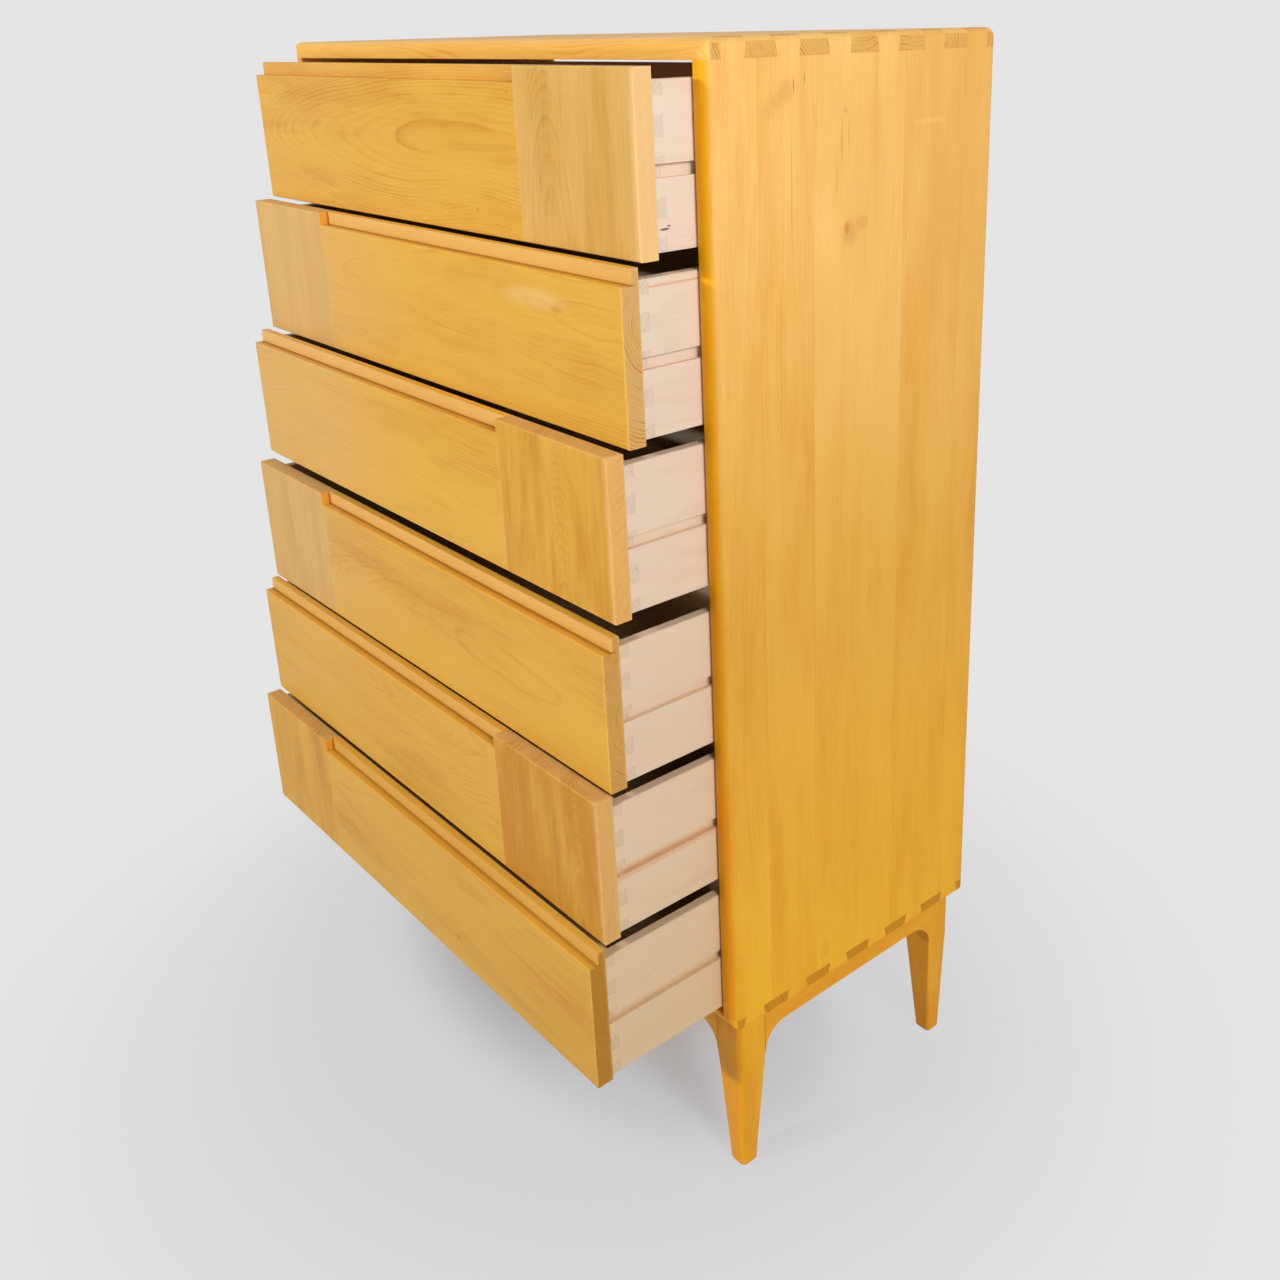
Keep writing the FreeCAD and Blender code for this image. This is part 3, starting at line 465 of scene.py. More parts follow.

# painted shade: the wood's colour darkens toward the floor, as the light falls off. What it is
# multiplied by halfway down, and then at the foot, and between which heights. A channel above 255
# makes it brighter
PAINTED_FALLOFF = {
    "case": (colour(232, 219, 158), colour(270, 266, 126)),
    "face": (colour(250, 250, 250), colour(240, 239, 232)),
    "drawer": (colour(246, 240, 230), colour(244, 238, 216)),
}
PAINTED_FALLOFF_HALFWAY = (0.965 * HEIGHT, 0.514 * HEIGHT)
PAINTED_FALLOFF_FOOT = (0.633 * HEIGHT, 0.119 * HEIGHT)
# painted shade and warm bounced light on the case's surfaces that face forward, most of all its front edges,
# which the drawers shade: the colour these are multiplied by
FRONT_SHADE_COLOUR = colour(255, 228, 3)
# how squarely a face has to look forward to take that colour
FRONT_SHADE_FACING = (-0.4, -0.92)
# how squarely a face has to look along the grain to be end grain
END_FACING = (0.82, 0.93)
EDGE_WIDTH = 0.003
# how strongly the pores and fibres show as relief, and how deep they are
GRAIN_RELIEF = (0.35, 0.0004)
OILED = {"Specular_IOR_Level": 0.18, "Coat_Weight": 0.04, "Coat_Roughness": 0.3}

# a board's grain runs along the first axis, its width along the second, its thickness along the third
UPRIGHT_SIDE = "zyx"
UPRIGHT_FACE = "zxy"
LEVEL_FACE = "xzy"
LEVEL_SHELF = "xyz"
DEEP_SIDE = "yzx"

NO_KNOT = (9.0, 0.0, 0.02, 0.0)

# what is drawn in the wood of single pieces, piece by piece. Each mark has its place to the right of,
# behind and above the piece's front top right corner, its reach each way, its depth and its colour
MARKS = {
    "side_right": (
        # two short splits and the darker spots before them
        ((-0.0025, 0.104, -0.044), (0.01, 0.0012, 0.01), 0.55, CHECK),
        ((-0.0025, 0.118, -0.039), (0.01, 0.0012, 0.007), 0.5, CHECK),
        ((-0.0025, 0.095, -0.048), (0.01, 0.012, 0.015), 0.2, KNOT),
        ((-0.0025, 0.083, -0.056), (0.01, 0.014, 0.012), 0.18, KNOT),
        ((-0.0025, 0.073, -0.065), (0.01, 0.014, 0.012), 0.12, KNOT),
        # wide patches, a little darker
        ((-0.0025, 0.383, -0.044), (0.05, 0.2, 0.4), 0.35, SHADY),
        ((-0.0025, 0.143, -0.084), (0.05, 0.06, 0.1), 0.16, SHADY),
        ((-0.0025, 0.198, -0.124), (0.05, 0.05, 0.16), 0.2, SHADY),
        ((-0.0025, 0.133, -0.274), (0.05, 0.04, 0.09), 0.12, SHADY),
        # a long fine line, a knot with its streaks, a pale streak and a spot near the floor
        ((-0.0025, 0.1005, -0.144), (0.01, 0.0012, 0.1), 0.3, KNOT),
        ((-0.0025, 0.1675, -0.096), (0.01, 0.002, 0.028), 0.28, KNOT),
        ((-0.0025, 0.177, -0.092), (0.01, 0.0016, 0.022), 0.22, KNOT),
        ((-0.0025, 0.172, -0.07), (0.01, 0.004, 0.004), 0.22, KNOT),
        ((-0.0025, 0.161, -0.134), (0.01, 0.0016, 0.022), 0.2, KNOT),
        ((-0.0025, 0.175, -0.181), (0.01, 0.005, 0.009), 0.4, KNOT),
        ((-0.0025, 0.179, -0.186), (0.01, 0.016, 0.02), 0.28, KNOT),
        ((-0.0025, 0.197, -0.178), (0.01, 0.012, 0.01), 0.2, KNOT),
        ((-0.0025, 0.293, -0.087), (0.01, 0.04, 0.004), 0.2, PALE),
        ((-0.0025, 0.145, -1.015), (0.01, 0.010, 0.018), 0.15, KNOT),
    ),
    "drawer_1_face_board": (
        ((-0.084, -0.004, -0.14), (0.004, 0.01, 0.003), 0.5, KNOT),
        ((-0.012, -0.004, -0.024), (0.004, 0.01, 0.003), 0.35, KNOT),
    ),
    "drawer_1_face_block": (
        # a painted highlight on the block's right end, where it takes the light
        ((0.002, 0.01, -0.083), (0.014, 0.03, 0.3), 0.55, PAINTED_END_HIGHLIGHT),
    ),
    "drawer_1_sides": (
        ((0.0, 0.006, -0.0685), (0.01, 0.007, 0.001), 0.9, CHECK),
        ((0.0, 0.008, -0.1275), (0.01, 0.008, 0.0016), 0.85, CHECK),
        ((0.0, 0.013, -0.125), (0.01, 0.003, 0.0014), 0.7, CHECK),
    ),
    "drawer_2_face_board": (
        ((-0.141, 0.0, -0.0429), (0.07, 0.01, 0.014), 0.3, PALE),
        ((-0.103, 0.0, -0.0489), (0.014, 0.01, 0.005), 0.3, KNOT),
    ),
    "drawer_2_sides": (
        ((0.0, 0.03, -0.0079), (0.01, 0.2, 0.0014), 0.6, AMBER),
    ),
    "drawer_3_face_block": (
        # a painted highlight on the block's right end, where it takes the light
        ((0.002, 0.01, -0.083), (0.012, 0.03, 0.3), 0.3, PAINTED_END_HIGHLIGHT),
    ),
    "drawer_5_face_block": (
        # a painted highlight on the block's right end, where it takes the light
        ((0.002, 0.01, -0.083), (0.012, 0.03, 0.3), 0.35, PAINTED_END_HIGHLIGHT),
        ((-0.077, -0.001, -0.083), (0.006, 0.01, 0.12), 0.35, KNOT),
    ),
    "drawer_5_sides": (
        ((-0.003, 0.043, -0.0842), (0.01, 0.3, 0.006), 0.35, AMBER),
    ),
    "drawer_6_face_board": (
        ((-0.277, 0.0, -0.1296), (0.008, 0.01, 0.004), 0.5, KNOT),
    ),
}


def own_marks(node):
    """The marks drawn in one piece, with their places in the frame."""
    low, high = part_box(node)
    corner = Vector((high.x, low.y, high.z))
    return tuple((corner + Vector(away), *rest) for away, *rest in MARKS.get(node, ()))


def numbered(label, values):
    """The inputs label_1, label_2 and so on, each with its value."""
    return {f"{label}_{number}": value for number, value in enumerate(values, start=1)}


def timber(node, wood, grain, seed, heart=(0.0, 0.07), ring_width=0.005, crown=(0.0, 0.05),
           knot=NO_KNOT, wander=0.03, contrast=1.0, rings=1.0, tone=0.0, joints=None,
           tones=(0.0,) * 5, marks=(), mellow=None, front_shade=0.0, cut=None, rubbed=None, wear_or_highlight=0.25):
    """The material of one board.

    heart is the log's heart from the board's middle, across and through; crown is where the log
    swells, from the board's middle, and how fast; knot is its place, along and across from the
    middle, its size and how far it pushes the rings out; wander is how far the rings stray, contrast
    and rings how strongly the figure and its rings show, and tone how dark the board is. joints are
    where a panel's staves meet and tones are the staves' own. marks are more marks, each a centre in
    the frame, a reach each way, a depth and a colour. The last five arguments are the name of the
    painted shade that darkens the wood toward the floor, how strongly surfaces that face forward take
    painted shade, the end grain's colour, and the colour and strength of the edges: worn, or a painted
    highlight on a drawer's face."""
    low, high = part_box(node)
    middle = (low + high) / 2
    material, tree, shader = new_material(node, **OILED)
    place = add(tree, "ShaderNodeTexCoord").outputs
    parts = split(tree, place["Object"])
    facing = split(tree, place["Normal"])
    along, across, through = (calc(tree, "SUBTRACT", parts["xyz".index(axis)], middle["xyz".index(axis)])
                              for axis in grain)
    end = ramp(tree, calc(tree, "ABSOLUTE", facing["xyz".index(grain[0])]), *END_FACING)
    log = {"Heart_Across": heart[0], "Heart_Through": heart[1], "Crown_At": crown[0], "Seed": seed}
    if joints:
        stave = use(tree, STAVES, Across=across, Seed=seed, **numbered("Joint", joints),
                    **numbered("Tone", tones))
        log = {"Heart_Across": stave["Heart Across"], "Heart_Through": stave["Heart Through"],
               "Crown_At": total(tree, stave["Crown Shift"], crown[0]), "Seed": stave["Seed"]}
        tone = stave["Tone"]
    figure = use(tree, FIGURE, Along=along, Across=across, Through=through, Ring_Width=ring_width,
                 Crown_Rise=crown[1], Knot_Along=knot[0], Knot_Across=knot[1], Knot_Size=knot[2],
                 Knot_Swell=knot[3], Wander=wander, **log)
    edge = use(tree, EDGE_WEAR_OR_HIGHLIGHT, Position=place["Object"], Low=low, High=high, Width=EDGE_WIDTH)["Edge"]
    light, dark, line, pore, own_cut = WOODS[wood]
    tint = use(tree, TINT, Light=light, Dark=dark, Line_Colour=line, Pore_Colour=pore,
               End_Colour=cut or own_cut, Edge_Colour=rubbed or line, Tone=tone, Contrast=contrast,
               Rings=rings, End=end, Edge=product(tree, edge, wear_or_highlight),
               **{part: figure[part] for part in FIGURE_PARTS})
    shown = tint["Color"]
    if joints:
        shown = blend(tree, product(tree, stave["Joint"], JOINT_DEPTH), shown, line)
    for centre, reach, depth, shade in (*marks, *own_marks(node)):
        mask = use(tree, MARK, Position=place["Object"], Centre=centre, Reach=reach)["Mask"]
        shown = blend(tree, product(tree, mask, depth), shown, shade)
    # painted shade that darkens the wood toward the floor
    if mellow:
        for by, heights in zip(PAINTED_FALLOFF[mellow], (PAINTED_FALLOFF_HALFWAY, PAINTED_FALLOFF_FOOT)):
            shown = blend(tree, ramp(tree, parts["Z"], *heights), shown, by, "MULTIPLY")
    # painted shade and warm bounced light on surfaces that face forward
    if front_shade:
        front = ramp(tree, facing["Y"], *FRONT_SHADE_FACING, 0.0, front_shade)
        shown = blend(tree, front, shown, FRONT_SHADE_COLOUR, "MULTIPLY")
    feed(tree, shader.inputs["Base Color"], shown)
    feed(tree, shader.inputs["Roughness"], tint["Roughness"])
    feed(tree, shader.inputs["Normal"], relief(tree, tint["Height"], *GRAIN_RELIEF))
    return material


def dress(node, wood, grain, seed, **look):
    """Gives a frame solid its own timber."""
    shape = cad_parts[node]
    shape.data.materials.clear()
    shape.data.materials.append(timber(node, wood, grain, seed, **look))


# ---------------------------------------------------------------- case and base

# the random seed of the first piece of each kind; the others' follow it
CASE_SEEDS = {"sides": 3, "shelves": 14, "back": 21, "runners": 24, "legs": 31, "rails": 37}
SIDE_LOOK = {"rings": 0.7, "crown": (0.0, 0.06), "ring_width": 0.004, "contrast": 0.6, "mellow": "case",
             "front_shade": 1.0}
SIDES = {
    "side_left": {"joints": (-0.13, -0.02, 0.06, 0.15), "tones": (0.1, 0.3, 0.0, 0.35, 0.15)},
    "side_right": {"joints": (-0.14, -0.07, 0.058, 0.148), "tones": (0.2, 0.16, 0.06, 0.14, 0.18)},
}
SHELF_LOOK = {"joints": (-0.12, -0.04, 0.05, 0.12), "tones": (0.0, 0.1, 0.2, 0.0, 0.1), "rings": 1.6,
              "crown": (0.1, 0.08), "contrast": 0.6, "mellow": "case", "front_shade": 0.45}
SHELVES = {
    "top_board": {"ring_width": 0.0034, "cut": colour(226, 170, 88)},
    "bottom_board": {"ring_width": 0.0056, "cut": colour(204, 144, 58)},
}
BACK_LOOK = {"heart": (0.05, 0.18), "ring_width": 0.011, "crown": (0.1, 0.16), "wander": 0.09,
             "contrast": 0.9}
BASE_LOOK = {"heart": (0.02, 0.05), "ring_width": 0.004, "contrast": 0.6, "tone": 0.6, "mellow": "case",
             "front_shade": 0.2, "wear_or_highlight": 0.0}
RAIL_GRAINS = {"front": LEVEL_FACE, "rear": LEVEL_FACE, "left": DEEP_SIDE, "right": DEEP_SIDE}


def dress_case():
    for seed, (side, own) in enumerate(SIDES.items(), start=CASE_SEEDS["sides"]):
        dress(side, "case", UPRIGHT_SIDE, seed, **SIDE_LOOK, **own)
    for seed, (board, own) in enumerate(SHELVES.items(), start=CASE_SEEDS["shelves"]):
        dress(board, "case", LEVEL_SHELF, seed, **SHELF_LOOK, **own)
    dress("back_panel", "panel", UPRIGHT_FACE, CASE_SEEDS["back"], **BACK_LOOK)
    for seed, side in enumerate(("left", "right"), start=CASE_SEEDS["runners"]):
        dress(f"runners_{side}", "runner", DEEP_SIDE, seed, contrast=0.8)


def dress_base():
    legs = ("front_left", "front_right", "rear_left", "rear_right")
    for seed, place in enumerate(legs, start=CASE_SEEDS["legs"]):
        dress(f"leg_{place}", "case", UPRIGHT_FACE, seed, **BASE_LOOK)
    for seed, (place, grain) in enumerate(RAIL_GRAINS.items(), start=CASE_SEEDS["rails"]):
        dress(f"rail_{place}", "case", grain, seed, **BASE_LOOK)


# ---------------------------------------------------------------- drawers

# the random seed of each of a drawer's pieces, to which the drawer's number is added
DRAWER_SEEDS = {"face_board": 40, "face_block": 50, "sides": 60, "box_front": 70, "box_back": 76,
                "bottom": 90}
BOARD_LOOK = {"wood": "face", "contrast": 0.58}
BOARDS = {
    1: {"heart": (0.005, 0.0475), "ring_width": 0.0026, "crown": (0.17, 0.15),
        "knot": (0.21, -0.06, 0.04, 0.012), "wander": 0.014, "rings": 1.6},
    2: {"heart": (0.035, 0.045), "ring_width": 0.0036, "crown": (0.5, 0.03), "wander": 0.04},
    3: {"heart": (-0.05, 0.06), "ring_width": 0.0035, "crown": (0.02, 0.14), "wander": 0.02},
    4: {"heart": (-0.01, 0.045), "ring_width": 0.0028, "crown": (0.12, 0.16), "wander": 0.02},
    5: {"heart": (0.05, 0.05), "ring_width": 0.0035, "crown": (-0.25, 0.1)},
    6: {"heart": (0.03, 0.05), "ring_width": 0.0036, "crown": (0.45, 0.04),
        "knot": (0.02, -0.047, 0.03, 0.006)},
}
BLOCK_LOOK = {"wood": "face", "contrast": 0.62}
BLOCKS = {
    1: {"wood": "pale_face", "heart": (-0.04, 0.035), "ring_width": 0.003, "crown": (-0.09, 0.7),
        "wander": 0.012, "tone": 0.06, "contrast": 0.75},
    2: {"wood": "pale_face", "heart": (0.12, 0.05), "tone": 0.2},
    3: {"heart": (0.0125, 0.02), "ring_width": 0.0028, "crown": (-0.14, 0.9), "wander": 0.012,
        "tone": 0.3, "contrast": 0.75},
    4: {"wood": "pale_face", "heart": (0.1, 0.06), "tone": 0.25},
    5: {"heart": (0.0585, 0.02), "ring_width": 0.003, "crown": (-0.1, 0.9), "wander": 0.012,
        "tone": 0.58, "contrast": 0.8},
    6: {"heart": (0.13, 0.05), "tone": 0.2},
}
BOX_LOOK = {"contrast": 0.35, "mellow": "drawer", "wear_or_highlight": 0.1}
# the colour of a board's end grain where it shows at the drawer's right end
FACE_ENDS = {2: colour(212, 168, 106), 4: colour(204, 154, 82), 6: colour(180, 122, 32)}
# a face is duller toward its left end
MILKY_DEPTH = {1: 0.1, 2: 0.35, 3: 0.4, 4: 0.3, 5: 0.1, 6: 0.0}
MILKY_REACH = (0.42, 0.3, 0.25)

FINGER_HEIGHT = 0.015
FINGER_DEPTH = 0.011
# how strongly each drawer's recess takes its painted highlight and painted shade
RECESS_SHADE = {1: 0.3, 2: 1.0, 3: 1.0, 4: 1.0, 5: 0.9, 6: 0.7}
# a reach past both ends of any board
WHOLE_LENGTH = 2.0
# in the recess of a board, a painted highlight on its wall and painted shade in its inner corner:
# how far below the board's top, reach back and up, depth and colour
RECESS_MARKS = (
    (0.004, 0.002, 0.016, 0.6, PAINTED_HIGHLIGHT),
    (FINGER_HEIGHT, 0.012, 0.0012, 0.3, PAINTED_CORNER_SHADE),
    (FINGER_HEIGHT, 0.005, 0.0012, 0.85, PAINTED_CORNER_SHADE),
)


def recess_marks(board, strength):
    """The finger recess's painted highlight on its wall and painted shade in its inner corner."""
    low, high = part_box(board)
    return tuple(
        (((low.x + high.x) / 2, low.y + FINGER_DEPTH, high.z - down), (WHOLE_LENGTH, back, up),
         strength * depth, shade)
        for down, back, up, depth, shade in RECESS_MARKS)


def recess_end_marks(block):
    """A painted glow on the recess's closed end, where the block stops it, and painted shade in its corner.
    """
    low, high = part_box(block)
    middle = high.z - FINGER_HEIGHT / 2
    return (
        ((high.x, low.y + FINGER_DEPTH / 2, middle), (0.0015, 0.012, 0.016), 0.8, PAINTED_GLOW),
        ((high.x, low.y + FINGER_DEPTH, middle), (0.0015, 0.003, 0.03), 0.7, PAINTED_CORNER_SHADE),
    )


def dress_drawer(number):
    names = {part: f"drawer_{number}_{part}" for part in DRAWER_SEEDS}
    seeds = {part: seed + number for part, seed in DRAWER_SEEDS.items()}
    board, block, sides = names["face_board"], names["face_block"], names["sides"]
    low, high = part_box(board)
    left_end = Vector((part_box(sides)[0].x, low.y, (low.z + high.z) / 2))
    milky = ((left_end, MILKY_REACH, MILKY_DEPTH[number], MILKY),)
    # the edges of board and block take a painted highlight
    dress(board, grain=LEVEL_FACE, seed=seeds["face_board"], mellow="face", rubbed=PAINTED_HIGHLIGHT,
          marks=milky + recess_marks(board, RECESS_SHADE[number]), cut=FACE_ENDS.get(number),
          **{**BOARD_LOOK, **BOARDS[number]})
    closed_end = recess_end_marks(block) if number % 2 == 0 else ()
    dress(block, grain=UPRIGHT_FACE, seed=seeds["face_block"], mellow="face", rubbed=PAINTED_HIGHLIGHT,
          marks=milky + closed_end, **{**BLOCK_LOOK, **BLOCKS[number]})
    dress(sides, "drawer", DEEP_SIDE, seeds["sides"], **BOX_LOOK)
    for part in ("box_front", "box_back"):
        dress(names[part], "drawer", LEVEL_FACE, seeds[part], **BOX_LOOK)
    dress(names["bottom"], "panel", LEVEL_SHELF, seeds["bottom"], contrast=0.6)


dress_case()
dress_base()
for number in DRAWERS:
    dress_drawer(number)


# ---------------------------------------------------------------- screws

BRIGHT_STEEL = colour(196, 190, 172)
SCUFFED_STEEL = colour(150, 144, 130)
SCUFF_FINENESS = (900.0, 900.0, 900.0)
SCUFF_ROUGHNESS = (0.3, 0.7, 0.25, 0.5)
SCUFF_RELIEF = (0.2, 0.0001)


def make_steel():
    """Bright zinc-plated steel, a little scuffed."""
    material, tree, shader = new_material("screw_steel", Metallic=1.0)
    place = add(tree, "ShaderNodeTexCoord").outputs["Object"]
    scuffs = noise(tree, scaled(tree, place, SCUFF_FINENESS), detail=3.0, roughness=0.7).outputs["Fac"]
    feed(tree, shader.inputs["Base Color"], blend(tree, scuffs, BRIGHT_STEEL, SCUFFED_STEEL))
    feed(tree, shader.inputs["Roughness"], ramp(tree, scuffs, *SCUFF_ROUGHNESS))
    feed(tree, shader.inputs["Normal"], relief(tree, scuffs, *SCUFF_RELIEF))
    return material


def screw_boxes(node):
    """The lowest and highest corner of each screw in a frame solid that holds several."""
    shape = bmesh.new()
    shape.from_mesh(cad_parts[node].data)
    bmesh.ops.remove_doubles(shape, verts=shape.verts, dist=1e-6)
    waiting = set(shape.verts)
    boxes = []
    while waiting:
        found = [waiting.pop()]
        for vert in found:
            for edge in vert.link_edges:
                other = edge.other_vert(vert)
                if other in waiting:
                    waiting.discard(other)
                    found.append(other)
        low = Vector(min(vert.co[axis] for vert in found) for axis in range(3))
        high = Vector(max(vert.co[axis] for vert in found) for axis in range(3))
        boxes.append((low, high))
    shape.free()
    return sorted(boxes, key=lambda box: tuple(box[0]))


# a head is this many times as wide as its shank
HEAD_RATIO = 2.0
HEAD_SIDES = 12
# the cross in the head, as shares of the head's radius, and how much narrower its floor is
CROSS_WIDTH = 0.24
CROSS_REACH = 0.6
CROSS_DEPTH = 0.6
CROSS_TAPER = 0.7
# the tip, in radii of the shank
TIP_LENGTH = 2.5
TIP_WIDTH = 0.1
# a screw is turned by this many degrees for every face made before it
SCREW_TURN = 37.0


def moved_ring(shape, edges, push, scale):
    """Draws a ring of edges out along +Z, widened by scale, and gives the new ring."""
    drawn = bmesh.ops.extrude_edge_only(shape, edges=edges)["geom"]
    verts = [item for item in drawn if isinstance(item, bmesh.types.BMVert)]
    bmesh.ops.translate(shape, verts=verts, vec=(0.0, 0.0, push))
    bmesh.ops.scale(shape, verts=verts, vec=(scale, scale, 1.0))
    return [item for item in drawn if isinstance(item, bmesh.types.BMEdge)
            and all(vert in verts for vert in item.verts)]


def make_screw(head_radius, length):
    """A countersunk cross-head screw along +Z, its head's flat at Z = 0."""
    shank_radius = head_radius / HEAD_RATIO
    shape = bmesh.new()
    square = bmesh.ops.create_grid(shape, x_segments=3, y_segments=3, size=1.0)["verts"]
    for vert in square:
        for axis in (0, 1):
            reach = CROSS_REACH if abs(vert.co[axis]) > 0.5 else CROSS_WIDTH / 2
            vert.co[axis] = math.copysign(reach * head_radius, vert.co[axis])
    inner = [edge for edge in shape.edges if edge.is_boundary]
    narrow = CROSS_WIDTH * head_radius / 2
    cross = [face for face in shape.faces if min(abs(c) for c in face.calc_center_median().xy) < narrow]
    rim = bmesh.ops.create_circle(shape, segments=HEAD_SIDES, radius=head_radius)["verts"]
    bmesh.ops.rotate(shape, verts=rim, matrix=Matrix.Rotation(math.pi / HEAD_SIDES, 3, "Z"))
    outer = [edge for edge in shape.edges if edge.is_wire]
    bmesh.ops.bridge_loops(shape, edges=inner + outer)
    sunk = bmesh.ops.extrude_face_region(shape, geom=cross)["geom"]
    floor = [item for item in sunk if isinstance(item, bmesh.types.BMVert)]
    bmesh.ops.translate(shape, verts=floor, vec=(0.0, 0.0, CROSS_DEPTH * head_radius))
    bmesh.ops.scale(shape, verts=floor, vec=(CROSS_TAPER, CROSS_TAPER, 1.0))
    bmesh.ops.delete(shape, geom=[face for face in cross if face.is_valid], context="FACES_ONLY")
    tip = TIP_LENGTH * shank_radius
    neck = head_radius - shank_radius
    ring = moved_ring(shape, outer, neck, shank_radius / head_radius)
    ring = moved_ring(shape, ring, length - neck - tip, 1.0)
    ring = moved_ring(shape, ring, tip, TIP_WIDTH)
    bmesh.ops.edgenet_fill(shape, edges=ring)
    bmesh.ops.recalc_face_normals(shape, faces=shape.faces)
    mesh = bpy.data.meshes.new("screw")
    shape.to_mesh(mesh)
    shape.free()
    return mesh


def make_screws(node, body, direction, mirrored=False):
    """Cross-head screws that point in a direction, in the place of a frame solid's plain ones.

    With mirrored, those left of the middle point the opposite way."""
    shape = bmesh.new()
    for low, high in screw_boxes(node):
        centre, size = (low + high) / 2, high - low
        points = Vector(direction)
        if mirrored:
            points *= math.copysign(1.0, centre.x)
        lengthwise = max(range(3), key=lambda axis: abs(points[axis]))
        head = size[(lengthwise + 1) % 3] / 2
        pattern = make_screw(head, size[lengthwise])
        start = centre - points * size[lengthwise] / 2
        turn = Vector((0.0, 0.0, 1.0)).rotation_difference(points).to_matrix().to_4x4()
        spin = Matrix.Rotation(math.radians(SCREW_TURN * len(shape.faces)), 4, "Z")
        pattern.transform(Matrix.Translation(start) @ turn @ spin)
        shape.from_mesh(pattern)
        bpy.data.meshes.remove(pattern)
    name = f"{node}_set"
    mesh = bpy.data.meshes.new(name)
    shape.to_mesh(mesh)
    shape.free()
    mesh.materials.append(STEEL)
    piece = place_object(name, mesh)
    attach(piece, body)
    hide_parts(node)


STEEL = make_steel()
RIGHTWARD = (1.0, 0.0, 0.0)
FORWARD = (0.0, -1.0, 0.0)
UPWARD = (0.0, 0.0, 1.0)
make_screws("back_panel_screws", ROOT, FORWARD)
make_screws("base_screws", ROOT, UPWARD)
make_screws("runner_screws", ROOT, RIGHTWARD, mirrored=True)
for number in DRAWERS:
    make_screws(f"drawer_{number}_face_screws", f"drawer_{number}", FORWARD)


# ---------------------------------------------------------------- studio

BACKDROP = 0.78
WORLD_COLOUR = (1.0, 0.985, 0.96, 1.0)
WORLD_STRENGTH = 0.3
FLOOR = colour(206, 214, 228)
FLOOR_RADIUS = 9.0
FLOOR_SIDES = 96
# the flat shade that the lit floor fades into: a painted shadow beneath the piece and a lighter shade
# about it, and the two distances between which it clears up to the backdrop's
SHADE_BENEATH = 0.44
SHADE_NEAR = 0.66
SHADE_FROM = 0.3
SHADE_TO = 0.95
# how much of the floor is flat, beneath the piece and about it, and the distances of both
FLAT_NEAR = 0.1
FLAT_MOST = 0.92
FLAT_FROM = 0.14
FLAT_TO = 0.48
# the piece is wider than its depth, so the painted shadow beneath it is an oval: distances count
# more from front to back
FLAT_SQUEEZE = (1.0, 1.8, 1.0)
# each lamp's place, what it is aimed at, its size and its power
LAMPS = {
    "front_softbox": ((-0.9, -4.4, 2.5), (0.0, 0.0, 1.0), 0.28, 118.0),
    "side_softbox": ((3.3, -0.6, 2.3), (0.3, 0.0, 0.8), 1.4, 76.0),
    "back_softbox": ((-2.4, 3.8, 0.95), (0.0, 0.1, 0.7), 0.9, 45.0),
}


def seen_directly(tree):
    """1 for rays that show the background: straight from the camera, mirrored or through glass."""
    path = add(tree, "ShaderNodeLightPath").outputs
    seen = calc(tree, "MAXIMUM", path["Is Camera Ray"], path["Is Glossy Ray"])
    return calc(tree, "MAXIMUM", seen, path["Is Transmission Ray"])


def make_floor():
    """A round pale floor, fading into the backdrop with distance, with a soft shadow and a painted shadow
    beneath the piece.
    """
    shape = bmesh.new()
    bmesh.ops.create_circle(shape, cap_ends=True, segments=FLOOR_SIDES, radius=FLOOR_RADIUS)
    mesh = bpy.data.meshes.new("studio_floor")
    shape.to_mesh(mesh)
    shape.free()
    material, tree, lit = new_material("studio_floor", Base_Color=FLOOR, Roughness=0.9,
                                       Specular_IOR_Level=0.1)
    place = add(tree, "ShaderNodeTexCoord").outputs["Object"]
    distance = length_of(tree, place)
    beneath = length_of(tree, scaled(tree, place, FLAT_SQUEEZE))
    # a painted shadow beneath the piece, lighter about it and clearing to the backdrop's shade further out
    shade = total(tree, ramp(tree, beneath, FLAT_FROM, FLAT_TO, SHADE_BENEATH, SHADE_NEAR),
                  ramp(tree, distance, SHADE_FROM, SHADE_TO, 0.0, BACKDROP - SHADE_NEAR))
    flat = add(tree, "ShaderNodeEmission", {"Color": combine(tree, shade, shade, shade)}).outputs[0]
    fade = total(tree, ramp(tree, beneath, FLAT_FROM, FLAT_TO, FLAT_NEAR, FLAT_MOST),
                 ramp(tree, beneath, FLAT_TO, SHADE_TO, 0.0, 1.0 - FLAT_MOST))
    share = product(tree, fade, seen_directly(tree))
    mixed = add(tree, "ShaderNodeMixShader", {0: share, 1: lit.outputs[0], 2: flat}).outputs[0]
    feed(tree, tree.nodes["Material Output"].inputs["Surface"], mixed)
    mesh.materials.append(material)
    floor = place_object("studio_floor", mesh)


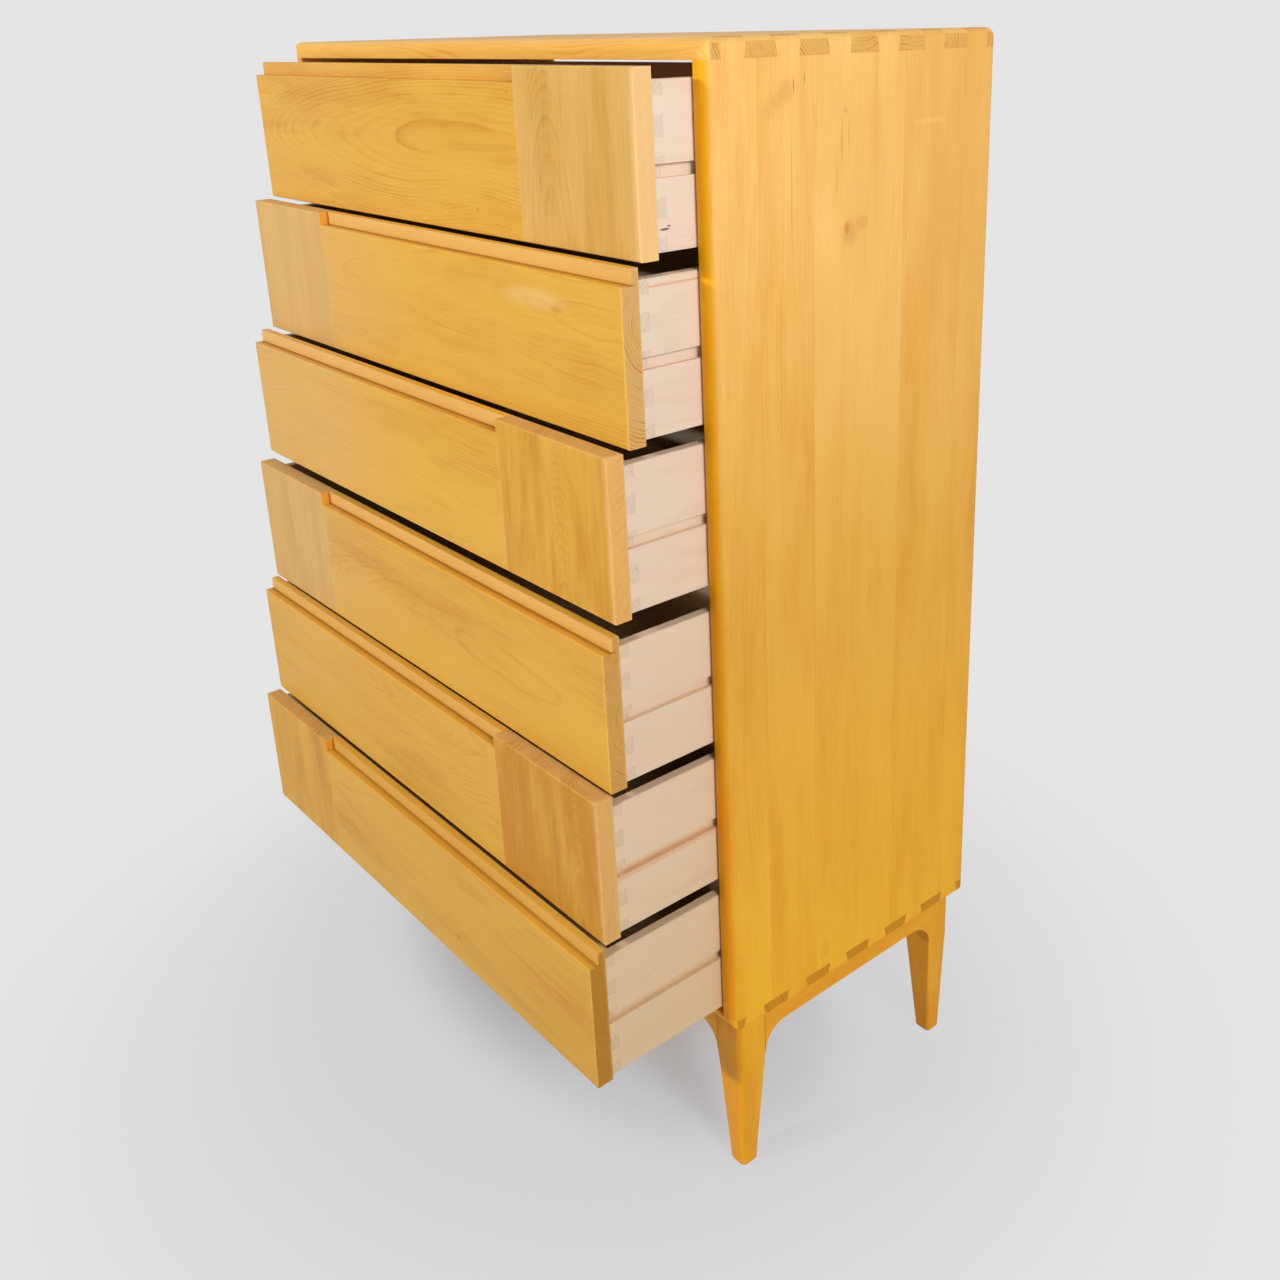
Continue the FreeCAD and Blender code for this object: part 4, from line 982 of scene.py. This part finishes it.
def make_world():
    """A dim warm surround, and a plain grey backdrop for rays that show it."""
    world = bpy.data.worlds.new("studio")
    world.use_nodes = True
    tree = world.node_tree
    around = tree.nodes["Background"]
    around.inputs["Color"].default_value = WORLD_COLOUR
    around.inputs["Strength"].default_value = WORLD_STRENGTH
    backdrop = (BACKDROP, BACKDROP, BACKDROP, 1.0)
    behind = add(tree, "ShaderNodeBackground", {"Color": backdrop, "Strength": 1.0}).outputs[0]
    mixed = add(tree, "ShaderNodeMixShader", {0: seen_directly(tree), 1: around.outputs[0], 2: behind})
    feed(tree, tree.nodes["World Output"].inputs["Surface"], mixed.outputs[0])
    bpy.context.scene.world = world


def make_lamp(name, place, target, size, power):
    """A round softbox."""
    light = bpy.data.lights.new(name, "AREA")
    light.shape = "DISK"
    light.size = size
    light.energy = power
    away = Vector(place) - Vector(target)
    turn = away.to_track_quat("Z", "Y").to_matrix().to_4x4()
    place_object(name, light).matrix_world = Matrix.Translation(place) @ turn


make_floor()
make_world()
for name, settings in LAMPS.items():
    make_lamp(name, *settings)


# ---------------------------------------------------------------- camera

# the picture is a square of PICTURE pixels; the centre of its perspective and its focal length are in
# pixels too. The sensor is in millimetres and the camera's turns are in degrees
PICTURE = 1280
CENTRE = (734, 500)
FOCAL = 1336.2
SENSOR = 36.0
CAMERA_PLACE = (1.3327, -0.8910, 1.2755)
CAMERA_YAW = 49.087
CAMERA_PITCH = 19.690
CAMERA_ROLL = -1.475


def make_camera():
    """A camera off the piece's front right corner, about as high as its top, that looks down at it."""
    data = bpy.data.cameras.new("camera")
    data.sensor_width = SENSOR
    data.lens = FOCAL / PICTURE * SENSOR
    data.shift_x = (PICTURE / 2 - CENTRE[0]) / PICTURE
    data.shift_y = (CENTRE[1] - PICTURE / 2) / PICTURE
    camera = place_object("camera", data)
    turn = (Matrix.Rotation(math.radians(CAMERA_YAW), 4, "Z")
            @ Matrix.Rotation(math.radians(90.0 - CAMERA_PITCH), 4, "X")
            @ Matrix.Rotation(math.radians(CAMERA_ROLL), 4, "Z"))
    camera.matrix_world = Matrix.Translation(CAMERA_PLACE) @ turn
    bpy.context.scene.camera = camera


make_camera()
bpy.context.scene.view_settings.view_transform = "Standard"
